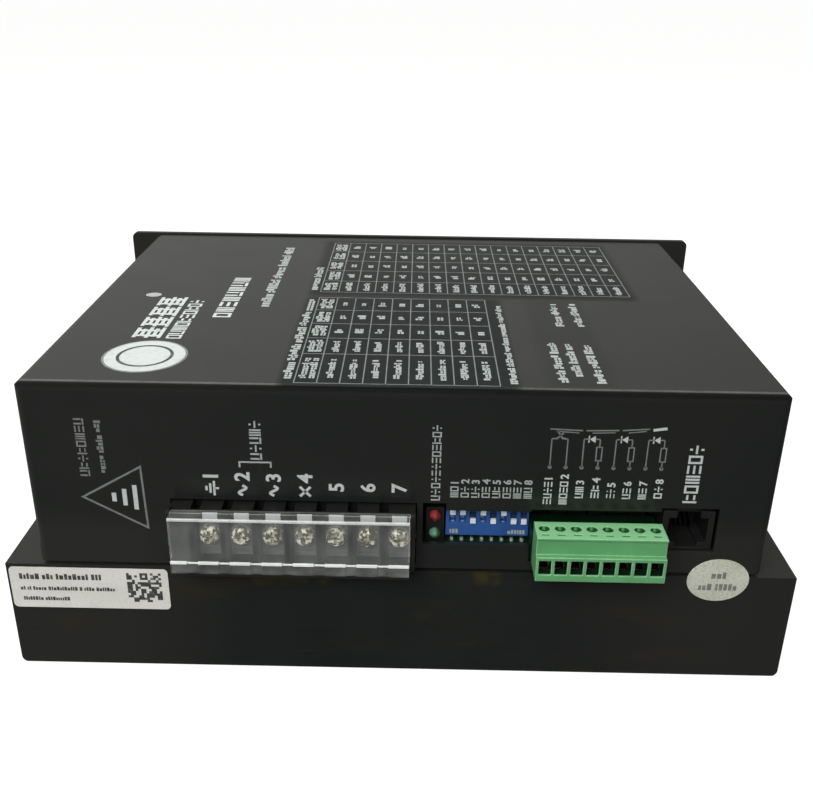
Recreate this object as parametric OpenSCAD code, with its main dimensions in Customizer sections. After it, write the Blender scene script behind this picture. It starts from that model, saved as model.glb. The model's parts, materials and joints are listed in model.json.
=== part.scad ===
// Mains-powered stepper drive, lying on its heat sink.
// +X along the heat sink, +Y from the connector face to the rear flange, +Z up.
// The origin is the middle of the footprint, on the surface the fins stand on.
// Connector modules measure depth from the front panel: negative depth stands in front of it.

/* [Heat sink] */
// Length of the extrusion, along X
sink_len = 200; // [198:1:206]
// Depth from the front face to the rear mounting face, along Y
sink_depth = 139; // [139:1:150]
// Height of the finned base
base_h = 31; // [30:0.5:32]
// Height of the upright rear flange
flange_h = 81.5; // [81:0.5:84]
// Thickness of the upright rear flange
flange_t = 2; // [2:0.5:6]
// Thickness of the plate that carries the fins
plate_t = 10; // [8:1:12]
// Thickness of one fin
fin_t = 2.4; // [1.8:0.2:2.8]
// Number of fins
fin_count = 16; // [14:1:17]

/* [Cover] */
// Outer width of the sheet cover
cover_w = 181.8; // [180:0.2:182]
// Height of the cover's top face
cover_top = 81; // [80.5:0.5:82]
// Sheet thickness
sheet_t = 1.2; // [1:0.1:1.5]
// Outside radius of the bends
bend_r = 2; // [1.6:0.1:2.5]
// Open joint between the front panel and the heat sink
seam = 1; // [0.2:0.1:1.4]

/* [Mounting holes] */
// Distance between the two ears' holes
mount_span_x = 191; // [190:0.5:192]
// Distance between the two holes of one ear
mount_span_z = 24; // [16:1:26]
// Height of the middle of the pattern
mount_z = 54; // [52:1:56]
// Radius of a mounting hole
mount_r = 2.25; // [2:0.05:2.7]

/* [Boards] */
// Height of the boards above the heat sink
board_gap = 4.4; // [4.2:0.1:4.4]
// Thickness of a board
board_t = 1.6; // [1.4:0.1:1.6]

/* [Barrier strip] */
// Number of poles
poles = 7; // [7:1:7]
// Pole spacing
pole_pitch = 7.62; // [7.5:0.01:7.62]
// Place of the first pole's screw along X
pole_x0 = -45.85; // [-46:0.05:-45.7]
// Height of the screws
pole_z = 44.6; // [44.4:0.1:44.8]

/* [Switch block] */
// Number of switches
ways = 8; // [8:1:8]
// Switch spacing
way_pitch = 2.54; // [2.5:0.01:2.54]
// Height of a slider that is on
slide_on_z = 46.3; // [46.2:0.1:46.4]
// Travel of a slider
slide_travel = 2.4; // [2:0.1:2.4]

/* [Signal plug] */
// Number of plug poles
plug_poles = 8; // [8:1:8]
// Plug pole spacing
plug_pitch = 3.81; // [3.8:0.01:3.81]
// How far the plug stands in front of the panel
plug_proud = 11; // [10.8:0.1:11.4]

/* [Hidden] */

$fn = 48;
eps = 0.01;
cut = 1;

front_y = -(sink_depth + plug_proud) / 2 + plug_proud;
rear_y = front_y + sink_depth;
flange_y = rear_y - flange_t;
fin_h = base_h - plate_t;
fin_pitch = (sink_depth - fin_t) / (fin_count - 1);
edge_r = 0.4;
foot_r = 2;
ear_r = 2;

tab_half = 80.3;
board_z = base_h + board_gap + board_t;
board_half = 87.5;
board_rear = 66;
board_setback = 2;
board_front = front_y + board_setback;
split_x = 3.2;
split_y = -9.5;
split_gap = 1.5;

m3_r = 1.45;
m3_clear_r = 1.7;
m3_thread_r = 1.5;
m3_head_r = 2.7;
m3_head_h = 2;
nut_r = 2.75;
nut_h = 2.2;
flat_head_r = 3;
cover_screw_x = 85;
cover_screw_gaps = [3, 11];
rear_screw_x = [-60, 0, 60];
rear_screw_z = 75.3;
lip_half = 76;
lip_drop = 11;

power_posts = [[-75, -55], [-75, 22], [-75, 60], [-10, 58], [75, 60], [75, 2]];
control_posts = [[9.5, -44], [12, -17], [75, -17], [75, -42]];
posts = concat(power_posts, control_posts);
post_flats = 5;
stud_len = 5.5;

pad_t = 0.3;
module_h = 3.7;
module_size = [42, 20];
module_at = [1, 40];
bridge_size = [26, 18];
bridge_at = [-50, 40];
tab_len = 6;
tab_h = 1.6;

pole_x = [for (k = [0 : poles - 1]) pole_x0 + k * pole_pitch];
block_x0 = -56;
block_x1 = pole_x[poles - 1] + pole_pitch / 2;
block_z0 = 34;
block_top = 50.1;
rib_t = 1.8;
hinge_d = -5.7;
hinge_z = 50.25;
clear_front = -9.6;
clear_t = 0.9;
clear_x0 = -55;
clear_x1 = 2.4;
contact_pin_d = 10.5;

link_x = [30, 56];
link_reach = 5;
link_h = 4.5;
link_pins = 10;
link_pitch = 2.54;
link_pin_x0 = 31.4;
link_pin_w = 0.5;
link_pin_out = 4;

capacitor_at = [[-59, -4], [-26, 6]];
capacitor_r = 15;
capacitor_h = 40;
choke_at = [-12, -27];
choke_r = 9.6;
choke_core_r = 3;
choke_core_h = 9;
choke_z = 5.7;
film_x = [-64, -44];
film_size = [17, 9, 14];
film_y = -35;
varistor_x = -30;
varistor_y = [-46, -42];
varistor_r = 5.5;
fuse_x = [-58, -42];
fuse_y = -44;
fuse_r = 2.5;
fuse_cap = 3.5;
relay_x = [-86, -70];
relay_y = [-48, -29];
relay_h = 15;
transformer_at = [8, 8];
resistor_x = [32, 60];
resistor_y = [8, 17];
resistor_h = 9;
shunt_size = [6.3, 3.2, 1];
shunt_pitch = 9;
shunt_count = 3;
coupler_size = [4.4, 6.5, 3.6];
coupler_pitch = 5.2;
coupler_count = 6;
side_row_x = 34;
chip_at = [26, -33];
chip_half = 7;
chip_pins = 12;

dip_x = 21.7;
dip_w = 20.7;
dip_face = 4;
dip_z0 = 39.5;
dip_z1 = 48;
way_x = [for (k = [0 : ways - 1]) 21.9 + (k - (ways - 1) / 2) * way_pitch];
way_on = [true, true, false, true, false, true, false, false];
dip_rows = [6, 9];
lead_t = 0.5;
lead_hole_r = 0.45;
lead_below = 1.5;

led_x = 8.65;
led_r = 1.5;
red_z = 45.08;
green_z = 40;
led_gap = 1.27;

plug_x = 48;
plug_w = 31;
plug_z0 = 36.3;
plug_z1 = 47.7;
plug_at = [for (k = [0 : plug_poles - 1]) plug_x + (k - (plug_poles - 1) / 2) * plug_pitch];
wire_z = 40.05;
clamp_d = -5.6;
header_pin_d = 8.8;
header_pin_z = 40.6;

jack_x = 70.85;
jack_leg_d = 13.85;
jack_ways = 4;
jack_pitch = 1.27;

label_t = 0.15;

black = [0.13, 0.13, 0.12];
panel_black = [0.16, 0.16, 0.15];
steel = [0.75, 0.75, 0.72];
tin = [0.7, 0.7, 0.68];
board_green = [0.1, 0.32, 0.2];
plug_green = [0.35, 0.65, 0.42];
paper = [0.85, 0.85, 0.82];

// ---------------------------------------------------------------- shapes

module block(x, y, z) {
    translate([x[0], y[0], z[0]]) cube([x[1] - x[0], y[1] - y[0], z[1] - z[0]]);
}

module rod_x(x, y, z, r) {
    translate([x[0], y, z]) rotate([0, 90, 0]) cylinder(h = x[1] - x[0], r = r);
}

module rod_y(x, y, z, r) {
    translate([x, y[0], z]) rotate([-90, 0, 0]) cylinder(h = y[1] - y[0], r = r);
}

module rod_z(x, y, z, r) {
    translate([x, y, z[0]]) cylinder(h = z[1] - z[0], r = r);
}

// What is left of a square corner outside its round.
module corner_waste(r) {
    difference() {
        square([r + eps, r + eps]);
        circle(r = r);
    }
}

// A rectangle with chosen round corners: [bottom left, bottom right, top right, top left].
module rounded_rect(w, h, r, corners = [1, 1, 1, 1]) {
    difference() {
        square([w, h]);
        if (corners[0]) translate([r, r]) rotate(180) corner_waste(r);
        if (corners[1]) translate([w - r, r]) rotate(270) corner_waste(r);
        if (corners[2]) translate([w - r, h - r]) corner_waste(r);
        if (corners[3]) translate([r, h - r]) rotate(90) corner_waste(r);
    }
}

module at_front() {
    translate([0, front_y, 0]) children();
}

module cross_recess(size, width, depth) {
    for (turn = [0, 90])
        rotate(turn) translate([-size / 2, -width / 2, -depth]) cube([size, width, depth + cut]);
}

// A pan-head screw with its head's underside at z = 0 and its shank pointing down.
module pan_screw(shank, length, head_r, head_h) {
    difference() {
        union() {
            cylinder(h = head_h, r = head_r);
            translate([0, 0, -length]) cylinder(h = length + eps, r = shank);
        }
        translate([0, 0, head_h]) cross_recess(head_r * 1.3, head_r * 0.3, head_h * 0.55);
    }
}

function gap_y(k) = front_y + fin_t / 2 + (k + 0.5) * fin_pitch;

module at_cover_screws() {
    for (side = [-1, 1], k = cover_screw_gaps)
        translate([side * cover_screw_x, gap_y(k), 0]) children();
}

module at_module_screws() {
    for (side = [-1, 1]) {
        translate([module_at[0] + side * (module_size[0] - tab_len) / 2, module_at[1], 0]) children();
        translate([bridge_at[0] + side * (bridge_size[0] - tab_len) / 2, bridge_at[1], 0]) children();
    }
}

// ---------------------------------------------------------------- casing

module heat_sink() {
    color(black) difference() {
        union() {
            intersection() {
                translate([-sink_len / 2, front_y, 0]) rotate([90, 0, 90]) linear_extrude(sink_len)
                    difference() {
                        rounded_rect(sink_depth, base_h, edge_r, [1, 1, 0, 0]);
                        for (k = [0 : fin_count - 2])
                            translate([fin_t + k * fin_pitch, -cut]) square([fin_pitch - fin_t, fin_h + cut]);
                    }
                translate([-sink_len / 2, rear_y, 0]) rotate([90, 0, 0]) linear_extrude(sink_depth)
                    rounded_rect(sink_len, base_h, foot_r, [1, 1, 0, 0]);
            }
            translate([-sink_len / 2, rear_y, 0]) rotate([90, 0, 0]) linear_extrude(flange_t)
                translate([0, fin_h]) rounded_rect(sink_len, flange_h - fin_h, ear_r, [0, 0, 1, 1]);
        }
        for (side = [-1, 1], level = [-1, 1])
            rod_y(side * mount_span_x / 2, [flange_y - cut, rear_y + cut],
                mount_z + level * mount_span_z / 2, mount_r);
        for (x = rear_screw_x) {
            rod_y(x, [flange_y - cut, rear_y + cut], rear_screw_z, m3_clear_r);
            translate([x, rear_y + eps, rear_screw_z]) rotate([90, 0, 0])
                cylinder(h = 1.5, r1 = flat_head_r + 0.15, r2 = m3_clear_r);
        }
        at_cover_screws() rod_z(0, 0, [fin_h - cut, base_h + cut], m3_clear_r);
        for (p = posts) rod_z(p[0], p[1], [base_h - stud_len - 0.5, base_h + cut], m3_thread_r);
        at_module_screws() rod_z(0, 0, [base_h - stud_len - 0.5, base_h + cut], m3_thread_r);
    }
}

// A box with the cover's rounded edges, grown or shrunk from the outer surface by the inset.
module cover_form(inset, rear, floor_z) {
    half = cover_w / 2 - inset;
    r = bend_r - inset;
    front = front_y + inset;
    top = cover_top - inset;
    depth = rear - front;
    height = top - floor_z;
    intersection() {
        translate([-half, front, floor_z]) rotate([90, 0, 90]) linear_extrude(2 * half)
            rounded_rect(depth, height, r, [0, 0, 0, 1]);
        translate([-half, rear, floor_z]) rotate([90, 0, 0]) linear_extrude(depth)
            rounded_rect(2 * half, height, r);
        translate([-half, front, floor_z]) linear_extrude(height)
            rounded_rect(2 * half, depth, r, [1, 1, 0, 0]);
    }
}

module panel_windows() {
    through = [-cut, sheet_t + cut];
    at_front() {
        block([-56.4, 4], through, [33.5, 50.7]);
        block([5.5, 11.2], through, [39.2, 50.8]);
        block([11.1, 32.4], through, [39.2, 48.9]);
        block([32.1, 64.3], through, [34.5, 49.5]);
        block([63.8, 77.9], through, [38.4, 50.6]);
    }
}

module cover() {
    color(panel_black) difference() {
        union() {
            difference() {
                cover_form(0, flange_y, base_h);
                cover_form(sheet_t, flange_y + cut, base_h + sheet_t);
            }
            block([-lip_half, lip_half], [flange_y - sheet_t, flange_y],
                [cover_top - lip_drop, cover_top - sheet_t + eps]);
        }
        block([-tab_half, tab_half], [front_y + sheet_t, flange_y + cut],
            [base_h - cut, base_h + sheet_t + cut]);
        block([-cover_w, cover_w], [front_y - cut, front_y + bend_r], [base_h - cut, base_h + seam]);
        block([-tab_half, tab_half], [front_y - cut, front_y + sheet_t + cut], [base_h - cut, base_h + seam]);
        panel_windows();
        at_cover_screws() rod_z(0, 0, [base_h - cut, base_h + sheet_t + cut], m3_clear_r);
        for (x = rear_screw_x) rod_y(x, [flange_y - sheet_t - cut, flange_y + cut], rear_screw_z, m3_clear_r);
    }
}

module cover_screws() {
    color(steel) {
        at_cover_screws() translate([0, 0, fin_h]) rotate([180, 0, 0])
            pan_screw(m3_r, plate_t + sheet_t + nut_h + 0.5, m3_head_r, m3_head_h);
        for (x = rear_screw_x) translate([x, rear_y - 0.05, rear_screw_z]) rotate([-90, 0, 0])
            difference() {
                union() {
                    translate([0, 0, -1.45]) cylinder(h = 1.45, r1 = m3_r, r2 = flat_head_r);
                    translate([0, 0, -8]) cylinder(h = 7, r = m3_r);
                }
                cross_recess(flat_head_r * 1.2, 0.75, 0.9);
            }
    }
}

module clinch_nut() {
    difference() {
        cylinder(h = nut_h, r = nut_r);
        translate([0, 0, -cut]) cylinder(h = nut_h + 2 * cut, r = m3_thread_r);
    }
}

module clinch_nuts() {
    color(steel) {
        at_cover_screws() translate([0, 0, base_h + sheet_t]) clinch_nut();
        for (x = rear_screw_x)
            translate([x, flange_y - sheet_t, rear_screw_z]) rotate([90, 0, 0]) clinch_nut();
    }
}

// ---------------------------------------------------------------- boards

module board_holes() {
    below = [board_z - board_t - cut, board_z + cut];
    for (p = posts) rod_z(p[0], p[1], below, m3_clear_r);
    at_front() {
        for (x = pole_x) rod_z(x, contact_pin_d, below, 0.8);
        for (x = way_x, d = dip_rows) rod_z(x, d, below, lead_hole_r);
        for (side = [-1, 1], d = [8.75, 10.35]) rod_z(led_x + side * led_gap, d, below, lead_hole_r);
        for (x = plug_at) rod_z(x, header_pin_d, below, 0.7);
        for (k = [0 : jack_ways - 1])
            rod_z(jack_x + (k - (jack_ways - 1) / 2) * jack_pitch, jack_leg_d, below, lead_hole_r);
    }
    for (side = [-1, 1]) {
        row_y = module_at[1] + side * (module_size[1] / 2 - 1.5);
        block([module_at[0] - 14, module_at[0] + 14], [row_y - 0.6, row_y + 0.6], below);
    }
    bridge_row = bridge_at[1] - bridge_size[1] / 2 + 1.5;
    block([bridge_at[0] - 7, bridge_at[0] + 7], [bridge_row - 0.8, bridge_row + 0.8], below);
    at_module_screws() rod_z(0, 0, below, m3_head_r + 0.3);
}

module power_board() {
    thick = [board_z - board_t, board_z];
    color(board_green) difference() {
        union() {
            block([-board_half, split_x], [board_front, board_rear], thick);
            block([-board_half, board_half], [split_y + split_gap, board_rear], thick);
        }
        board_holes();
    }
}

module control_board() {
    color(board_green) difference() {
        block([split_x + split_gap, board_half], [board_front, split_y], [board_z - board_t, board_z]);
        board_holes();
    }
}

module standoffs() {
    color("goldenrod") for (p = posts) translate([p[0], p[1], base_h]) difference() {
        union() {
            cylinder(h = board_gap, r = post_flats / 2 / cos(30), $fn = 6);
            translate([0, 0, -stud_len]) cylinder(h = stud_len + eps, r = m3_r);
        }
        translate([0, 0, 0.8]) cylinder(h = board_gap, r = m3_thread_r);
    }
}

module board_screws() {
    color(steel) for (p = posts) translate([p[0], p[1], board_z])
        pan_screw(m3_r, board_t + board_gap - 1.2, m3_head_r, m3_head_h);
}

// A rigid pin link that bridges the slot between the two boards.
module board_link() {
    mid_y = split_y + split_gap / 2;
    color(black) block(link_x, [split_y - link_reach, split_y + split_gap + link_reach],
        [board_z, board_z + link_h]);
    color(tin) for (k = [0 : link_pins - 1], side = [-1, 1]) {
        x = link_pin_x0 + k * link_pitch;
        y = mid_y + side * link_pin_out;
        block([x, x + link_pin_w], [y - link_pin_w / 2, y + link_pin_w / 2],
            [board_z + link_h, board_z + link_h + 1]);
    }
}

module insulating_sheet() {
    thick = [base_h, base_h + 0.25];
    clear = 1;
    color([0.85, 0.8, 0.6]) difference() {
        block([-tab_half + clear, tab_half - clear], [front_y + 4, board_rear], thick);
        for (p = posts) rod_z(p[0], p[1], [base_h - cut, base_h + cut], post_flats / 2 + clear);
        module_place(module_at, module_size + [clear, clear], [base_h - cut, base_h + cut]);
        module_place(bridge_at, bridge_size + [clear, clear], [base_h - cut, base_h + cut]);
    }
}

// ---------------------------------------------------------------- power parts

module module_place(at, size, z) {
    block([at[0] - size[0] / 2, at[0] + size[0] / 2], [at[1] - size[1] / 2, at[1] + size[1] / 2], z);
}

// A flat moulded power package with two low screw tabs.
module power_package(at, size) {
    base = base_h + pad_t;
    difference() {
        union() {
            module_place(at, size, [base, base + tab_h]);
            module_place(at, [size[0] - 2 * tab_len, size[1]], [base, base + module_h]);
        }
        for (side = [-1, 1])
            rod_z(at[0] + side * (size[0] - tab_len) / 2, at[1],
                [base - cut, base + tab_h + cut], m3_clear_r);
    }
}

module package_pins(at, row_y, count, pitch) {
    for (k = [0 : count - 1])
        translate([at[0] + (k - (count - 1) / 2) * pitch, row_y, base_h + pad_t + module_h])
            translate([-0.3, -0.25, 0]) cube([0.6, 0.5, board_gap + board_t - pad_t - module_h + lead_below]);
}

module power_module() {
    color([0.2, 0.2, 0.22]) power_package(module_at, module_size);
    color(tin) for (side = [-1, 1])
        package_pins(module_at, module_at[1] + side * (module_size[1] / 2 - 1.5), 12, 2.3);
}

module bridge_rectifier() {
    color([0.15, 0.15, 0.16]) power_package(bridge_at, bridge_size);
    color(tin) package_pins(bridge_at, bridge_at[1] - bridge_size[1] / 2 + 1.5, 4, 4);
}

module module_screws() {
    color(steel) at_module_screws() translate([0, 0, base_h + pad_t + tab_h])
        pan_screw(m3_r, pad_t + tab_h + 4, m3_head_r, m3_head_h);
}

module thermal_pads() {
    color([0.7, 0.7, 0.75]) difference() {
        union() {
            module_place(module_at, module_size, [base_h, base_h + pad_t]);
            module_place(bridge_at, bridge_size, [base_h, base_h + pad_t]);
        }
        at_module_screws() rod_z(0, 0, [base_h - cut, base_h + cut], m3_clear_r);
    }
}

module bus_capacitors() {
    can_r = capacitor_r;
    can_h = capacitor_h;
    color([0.12, 0.14, 0.2]) for (p = capacitor_at) translate([p[0], p[1], board_z]) rotate_extrude()
        polygon([[0, 0], [can_r - 0.6, 0], [can_r, 0.6], [can_r, 3], [can_r - 0.8, 4], [can_r, 5],
            [can_r, can_h - 1], [can_r - 1, can_h], [can_r - 2, can_h - 0.6], [0, can_h - 0.6]]);
}

module choke_core() {
    color([0.2, 0.28, 0.2]) translate([choke_at[0], choke_at[1], board_z + choke_z])
        rotate_extrude() translate([choke_r - choke_core_r, -choke_core_h / 2])
            square([2 * choke_core_r, choke_core_h]);
}

// Two half windings: rings of square turns around the core, open between the halves.
module choke_windings() {
    wire = 1.1;
    turns = 9;
    step = 13;
    inside = [2 * choke_core_r + 0.2, 2 * wire, choke_core_h + 0.2];
    color([0.72, 0.4, 0.2]) translate([choke_at[0], choke_at[1], board_z + choke_z])
        for (half = [0, 180], k = [0 : turns - 1])
            rotate(half + (k - (turns - 1) / 2) * step) translate([choke_r, 0, 0])
                difference() {
                    cube([inside[0] + 2 * wire, wire, inside[2] + 2 * wire], center = true);
                    cube(inside, center = true);
                }
}

module film_capacitors() {
    color([0.75, 0.6, 0.2]) for (x = film_x) translate([x, film_y, board_z]) cube(film_size);
}

module varistor() {
    lead_half = 0.3;
    mid_y = (varistor_y[0] + varistor_y[1]) / 2;
    color([0.15, 0.3, 0.6]) rod_y(varistor_x, varistor_y, board_z + varistor_r + 2, varistor_r);
    color(tin) for (side = [-1, 1]) {
        x = varistor_x + side * varistor_r / 2;
        block([x - lead_half, x + lead_half], [mid_y - lead_half, mid_y + lead_half], [board_z, board_z + 3]);
    }
}

module fuse() {
    z = board_z + fuse_r + 1.5;
    tang_half = 0.6;
    color([0.9, 0.9, 0.88]) rod_x(fuse_x, fuse_y, z, fuse_r);
    color(steel) for (x = [fuse_x[0] - fuse_cap, fuse_x[1]]) {
        rod_x([x, x + fuse_cap], fuse_y, z, fuse_r + 0.5);
        block([x + 1, x + fuse_cap - 1], [fuse_y - tang_half, fuse_y + tang_half], [board_z, z - fuse_r]);
    }
}

module inrush_relay() {
    color([0.12, 0.2, 0.35]) block(relay_x, relay_y, [board_z, board_z + relay_h]);
}

module flyback_transformer() {
    core_half = [13, 6];
    core_z = [3, 23];
    leg = 4;
    fit_gap = 0.2;
    bobbin_half_y = 10;
    foot_half = [12, 2];
    foot_y = 8;
    window_half = core_half[0] - leg;
    window_z = [core_z[0] + leg, core_z[1] - leg];
    translate([transformer_at[0], transformer_at[1], board_z]) {
        color([0.25, 0.22, 0.2]) difference() {
            block([-core_half[0], core_half[0]], [-core_half[1], core_half[1]], core_z);
            block([-window_half, window_half], [-core_half[1] - cut, core_half[1] + cut], window_z);
        }
        color([0.85, 0.75, 0.3]) block([-window_half + fit_gap, window_half - fit_gap],
            [-bobbin_half_y, bobbin_half_y], [window_z[0] + fit_gap, window_z[1] - fit_gap]);
        color(black) for (side = [-1, 1])
            block([-foot_half[0], foot_half[0]],
                [side * foot_y - foot_half[1], side * foot_y + foot_half[1]], [0, window_z[0]]);
    }
}

module brake_resistor() {
    color([0.88, 0.88, 0.85]) block(resistor_x, resistor_y, [board_z, board_z + resistor_h]);
}

module current_shunts() {
    color([0.3, 0.3, 0.3]) for (k = [0 : shunt_count - 1])
        translate([side_row_x + k * shunt_pitch, module_at[1] - 6, board_z]) cube(shunt_size);
}

module optocouplers() {
    color([0.92, 0.92, 0.9]) for (k = [0 : coupler_count - 1])
        translate([side_row_x + k * coupler_pitch, front_y + 17, board_z]) cube(coupler_size);
}

module control_chip() {
    pin_w = 0.4;
    translate([chip_at[0], chip_at[1], board_z]) {
        color([0.12, 0.12, 0.13])
            block([-chip_half, chip_half], [-chip_half, chip_half], [0.1, 1.4]);
        color(tin) for (turn = [0 : 90 : 270], k = [0 : chip_pins - 1])
            rotate(turn) translate([chip_half, k - (chip_pins - 1) / 2 - pin_w / 2, 0])
                cube([1, pin_w, pin_w]);
    }
}

// ---------------------------------------------------------------- barrier strip

module hinge_lug(x) {
    difference() {
        union() {
            block(x, [hinge_d, -4], [hinge_z - 2.4, hinge_z + 1]);
            rod_x(x, hinge_d, hinge_z, 1);
            block(x, [hinge_d - 1, hinge_d + eps], [hinge_z - 2.4, hinge_z]);
        }
        rod_x([x[0] - cut, x[1] + cut], hinge_d, hinge_z, 0.52);
    }
}

module barrier_block() {
    back_wall = -4.5;
    rib_front = -8.3;
    floor_top = 35.6;
    seat_d = board_setback - 0.6;
    rib_top = 49.3;
    color(black) at_front() difference() {
        union() {
            block([block_x0, block_x1], [back_wall, seat_d], [block_z0, block_top]);
            block([block_x0, block_x1], [seat_d - eps, 9.4], [board_z, block_top]);
            block([block_x0 + 1.1, block_x1 - 1.3], [rib_front, back_wall + eps], [block_z0, floor_top]);
            block([-54.8, pole_x[0] - pole_pitch / 2 + rib_t / 2], [rib_front, back_wall + eps],
                [block_z0, 47.8]);
            for (k = [0 : poles - 2])
                block([pole_x[k] + (pole_pitch - rib_t) / 2, pole_x[k] + (pole_pitch + rib_t) / 2],
                    [rib_front, back_wall + eps], [block_z0, rib_top]);
            hinge_lug([block_x0, block_x0 + 0.85]);
            hinge_lug([block_x1 - 1.1, block_x1]);
        }
        // dark slots between the poles, open at the top
        for (k = [-1 : poles - 2])
            block([pole_x[k + 1] - pole_pitch / 2 - 1.2, pole_x[k + 1] - pole_pitch / 2 + 1.2],
                [-3.6, 2.6], [block_top - 4, block_top + cut]);
        // clearance for the clear cover's rear edge
        block([block_x0 + 0.95, block_x1 - 1.2], [back_wall - cut, -4], [48.6, block_top + cut]);
        for (x = pole_x) {
            rod_y(x, [back_wall - cut, 3], pole_z, 1.6);
            block([x - 1.6, x + 1.6], [back_wall - cut, 9.4 + cut], [38.5, 39.7]);
        }
    }
}

module barrier_contacts() {
    back_wall = -4.5;
    plate_t1 = 0.8;
    tang_t = 0.4;
    color(steel) at_front() for (x = pole_x) {
        difference() {
            union() {
                block([x - 2.8, x + 2.8], [back_wall - plate_t1, back_wall], [38.6, 47.4]);
                block([x - 1.8, x + 1.8], [back_wall - tang_t, back_wall], [47.3, 49.75]);
                block([x - 1.5, x + 1.5], [back_wall - eps, contact_pin_d + 0.5], [38.6, 39.6]);
                block([x - 0.6, x + 0.6], [contact_pin_d - 0.5, contact_pin_d + 0.5],
                    [board_z - board_t - lead_below, 38.7]);
            }
            rod_y(x, [back_wall - 2, back_wall + cut], pole_z, 1.6);
        }
    }
}

// One terminal screw: a chamfered head with a cross recess, on a captive round washer.
module terminal_screw(k) {
    seat = -5.35;
    washer_r = 2.8;
    washer_t = 0.6;
    head_r = 2.35;
    head_h = 2.1;
    chamfer = 0.5;
    shank_len = 6.4;
    color(steel) at_front() translate([pole_x[k], seat, pole_z]) rotate([90, 0, 0]) difference() {
        rotate_extrude() polygon([[0, -shank_len], [1.5, -shank_len], [1.5, 0], [washer_r, 0],
            [washer_r, washer_t], [head_r, washer_t], [head_r, head_h - chamfer],
            [head_r - chamfer, head_h], [0, head_h]]);
        translate([0, 0, head_h]) cross_recess(head_r * 1.35, 0.75, 1.1);
    }
}

module barrier_cover() {
    z0 = 35.9;
    z1 = hinge_z + clear_t / 2;
    rear = -5.25;
    pin_r = 0.45;
    pin_len = 0.8;
    lip_top = 39.1;
    lip_out = 0.5;
    rim_out = 0.2;
    pad_w = 5;
    color([0.8, 0.85, 0.85, 0.5]) at_front() {
        block([clear_x0, clear_x1], [clear_front, clear_front + clear_t], [z0, z1]);
        block([clear_x0, clear_x1], [clear_front, rear], [z1 - clear_t, z1]);
        block([clear_x0, clear_x1], [clear_front - rim_out, clear_front + eps], [z0, lip_top - rim_out]);
        rod_x([clear_x0 - pin_len, clear_x0 + 1], hinge_d, hinge_z, pin_r);
        rod_x([clear_x1 - 1, clear_x1 + pin_len], hinge_d, hinge_z, pin_r);
        for (x = pole_x)
            block([x - pad_w / 2, min(x + pad_w / 2, clear_x1)], [clear_front - lip_out, clear_front + eps],
                [z0, lip_top]);
        block([clear_x0, pole_x[0] - pole_pitch + pad_w / 2], [clear_front - lip_out, clear_front + eps],
            [z0, lip_top]);
    }
}

// ---------------------------------------------------------------- switches and lights

module dip_body() {
    slot_w = 1.7;
    slot_z = [43.1, 47.3];
    well_w = 2.1;
    color([0.12, 0.28, 0.6]) at_front() difference() {
        block([dip_x - dip_w / 2, dip_x + dip_w / 2], [dip_face, 10], [dip_z0, dip_z1]);
        for (x = way_x) {
            block([x - slot_w / 2, x + slot_w / 2], [dip_face - cut, dip_face + 1.3], slot_z);
            block([x - well_w / 2, x + well_w / 2], [dip_face + 1.2, dip_face + 2.6],
                [slot_z[0] - 0.2, slot_z[1] + 0.15]);
        }
    }
}

module dip_slider(k) {
    knob_w = 1.4;
    knob_h = 1.3;
    foot_w = 1.9;
    foot_h = 1.6;
    proud = 0.7;
    z = slide_on_z - (way_on[k] ? 0 : slide_travel);
    color([0.93, 0.94, 0.95]) at_front() {
        block([way_x[k] - knob_w / 2, way_x[k] + knob_w / 2], [dip_face - proud, dip_face + 1.5],
            [z - knob_h / 2, z + knob_h / 2]);
        block([way_x[k] - foot_w / 2, way_x[k] + foot_w / 2], [dip_face + 1.4, dip_face + 2.4],
            [z - foot_h / 2, z + foot_h / 2]);
    }
}

module led_lead(x, z, from_d, to_d) {
    below = board_z - board_t - lead_below;
    block([x - lead_t / 2, x + lead_t / 2], [from_d, to_d], [z - lead_t / 2, z + lead_t / 2]);
    block([x - lead_t / 2, x + lead_t / 2], [to_d - lead_t, to_d], [below, z + lead_t / 2]);
}

module component_leads() {
    below = board_z - board_t - lead_below;
    color(tin) at_front() {
        for (x = way_x, d = dip_rows) {
            block([x - lead_t / 2, x + lead_t / 2], [d - lead_t / 2, d + lead_t / 2], [below, dip_z0]);
            rod_z(x, d, [board_z, board_z + 0.5], 0.75);
        }
        for (side = [-1, 1]) {
            led_lead(led_x + side * led_gap, green_z, 8, 9);
            led_lead(led_x + side * led_gap, red_z, 8, 10.6);
        }
    }
}

module led_holder() {
    color(black) at_front() difference() {
        block([6.4, 10.9], [dip_face, 7], [board_z, 47.4]);
        for (z = [red_z, green_z]) rod_y(led_x, [dip_face - cut, 7 + cut], z, led_r + 0.08);
    }
}

module led_lens(z) {
    dome_d = 3.8;
    at_front() {
        rod_y(led_x, [dome_d, 7], z, led_r);
        rod_y(led_x, [7, 8], z, 1.9);
        intersection() {
            translate([led_x, dome_d, z]) sphere(r = led_r);
            block([led_x - 2, led_x + 2], [dome_d - 2, dome_d + eps], [z - 2, z + 2]);
        }
    }
}

module led_red() {
    color([0.7, 0.12, 0.12]) led_lens(red_z);
}

module led_green() {
    color([0.25, 0.55, 0.35]) led_lens(green_z);
}

// ---------------------------------------------------------------- signal connector

module signal_header() {
    front = -2.4;
    rear = 6.8;
    color(plug_green) at_front() difference() {
        block([32.25, 63.75], [front, rear], [board_z, 44.4]);
        block([33.05, 62.95], [front - cut, 5.6], [37.8, 43.6]);
        for (x = plug_at)
            block([x - 0.45, x + 0.45], [5, rear + cut], [header_pin_z - 0.45, header_pin_z + 0.45]);
    }
}

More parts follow.
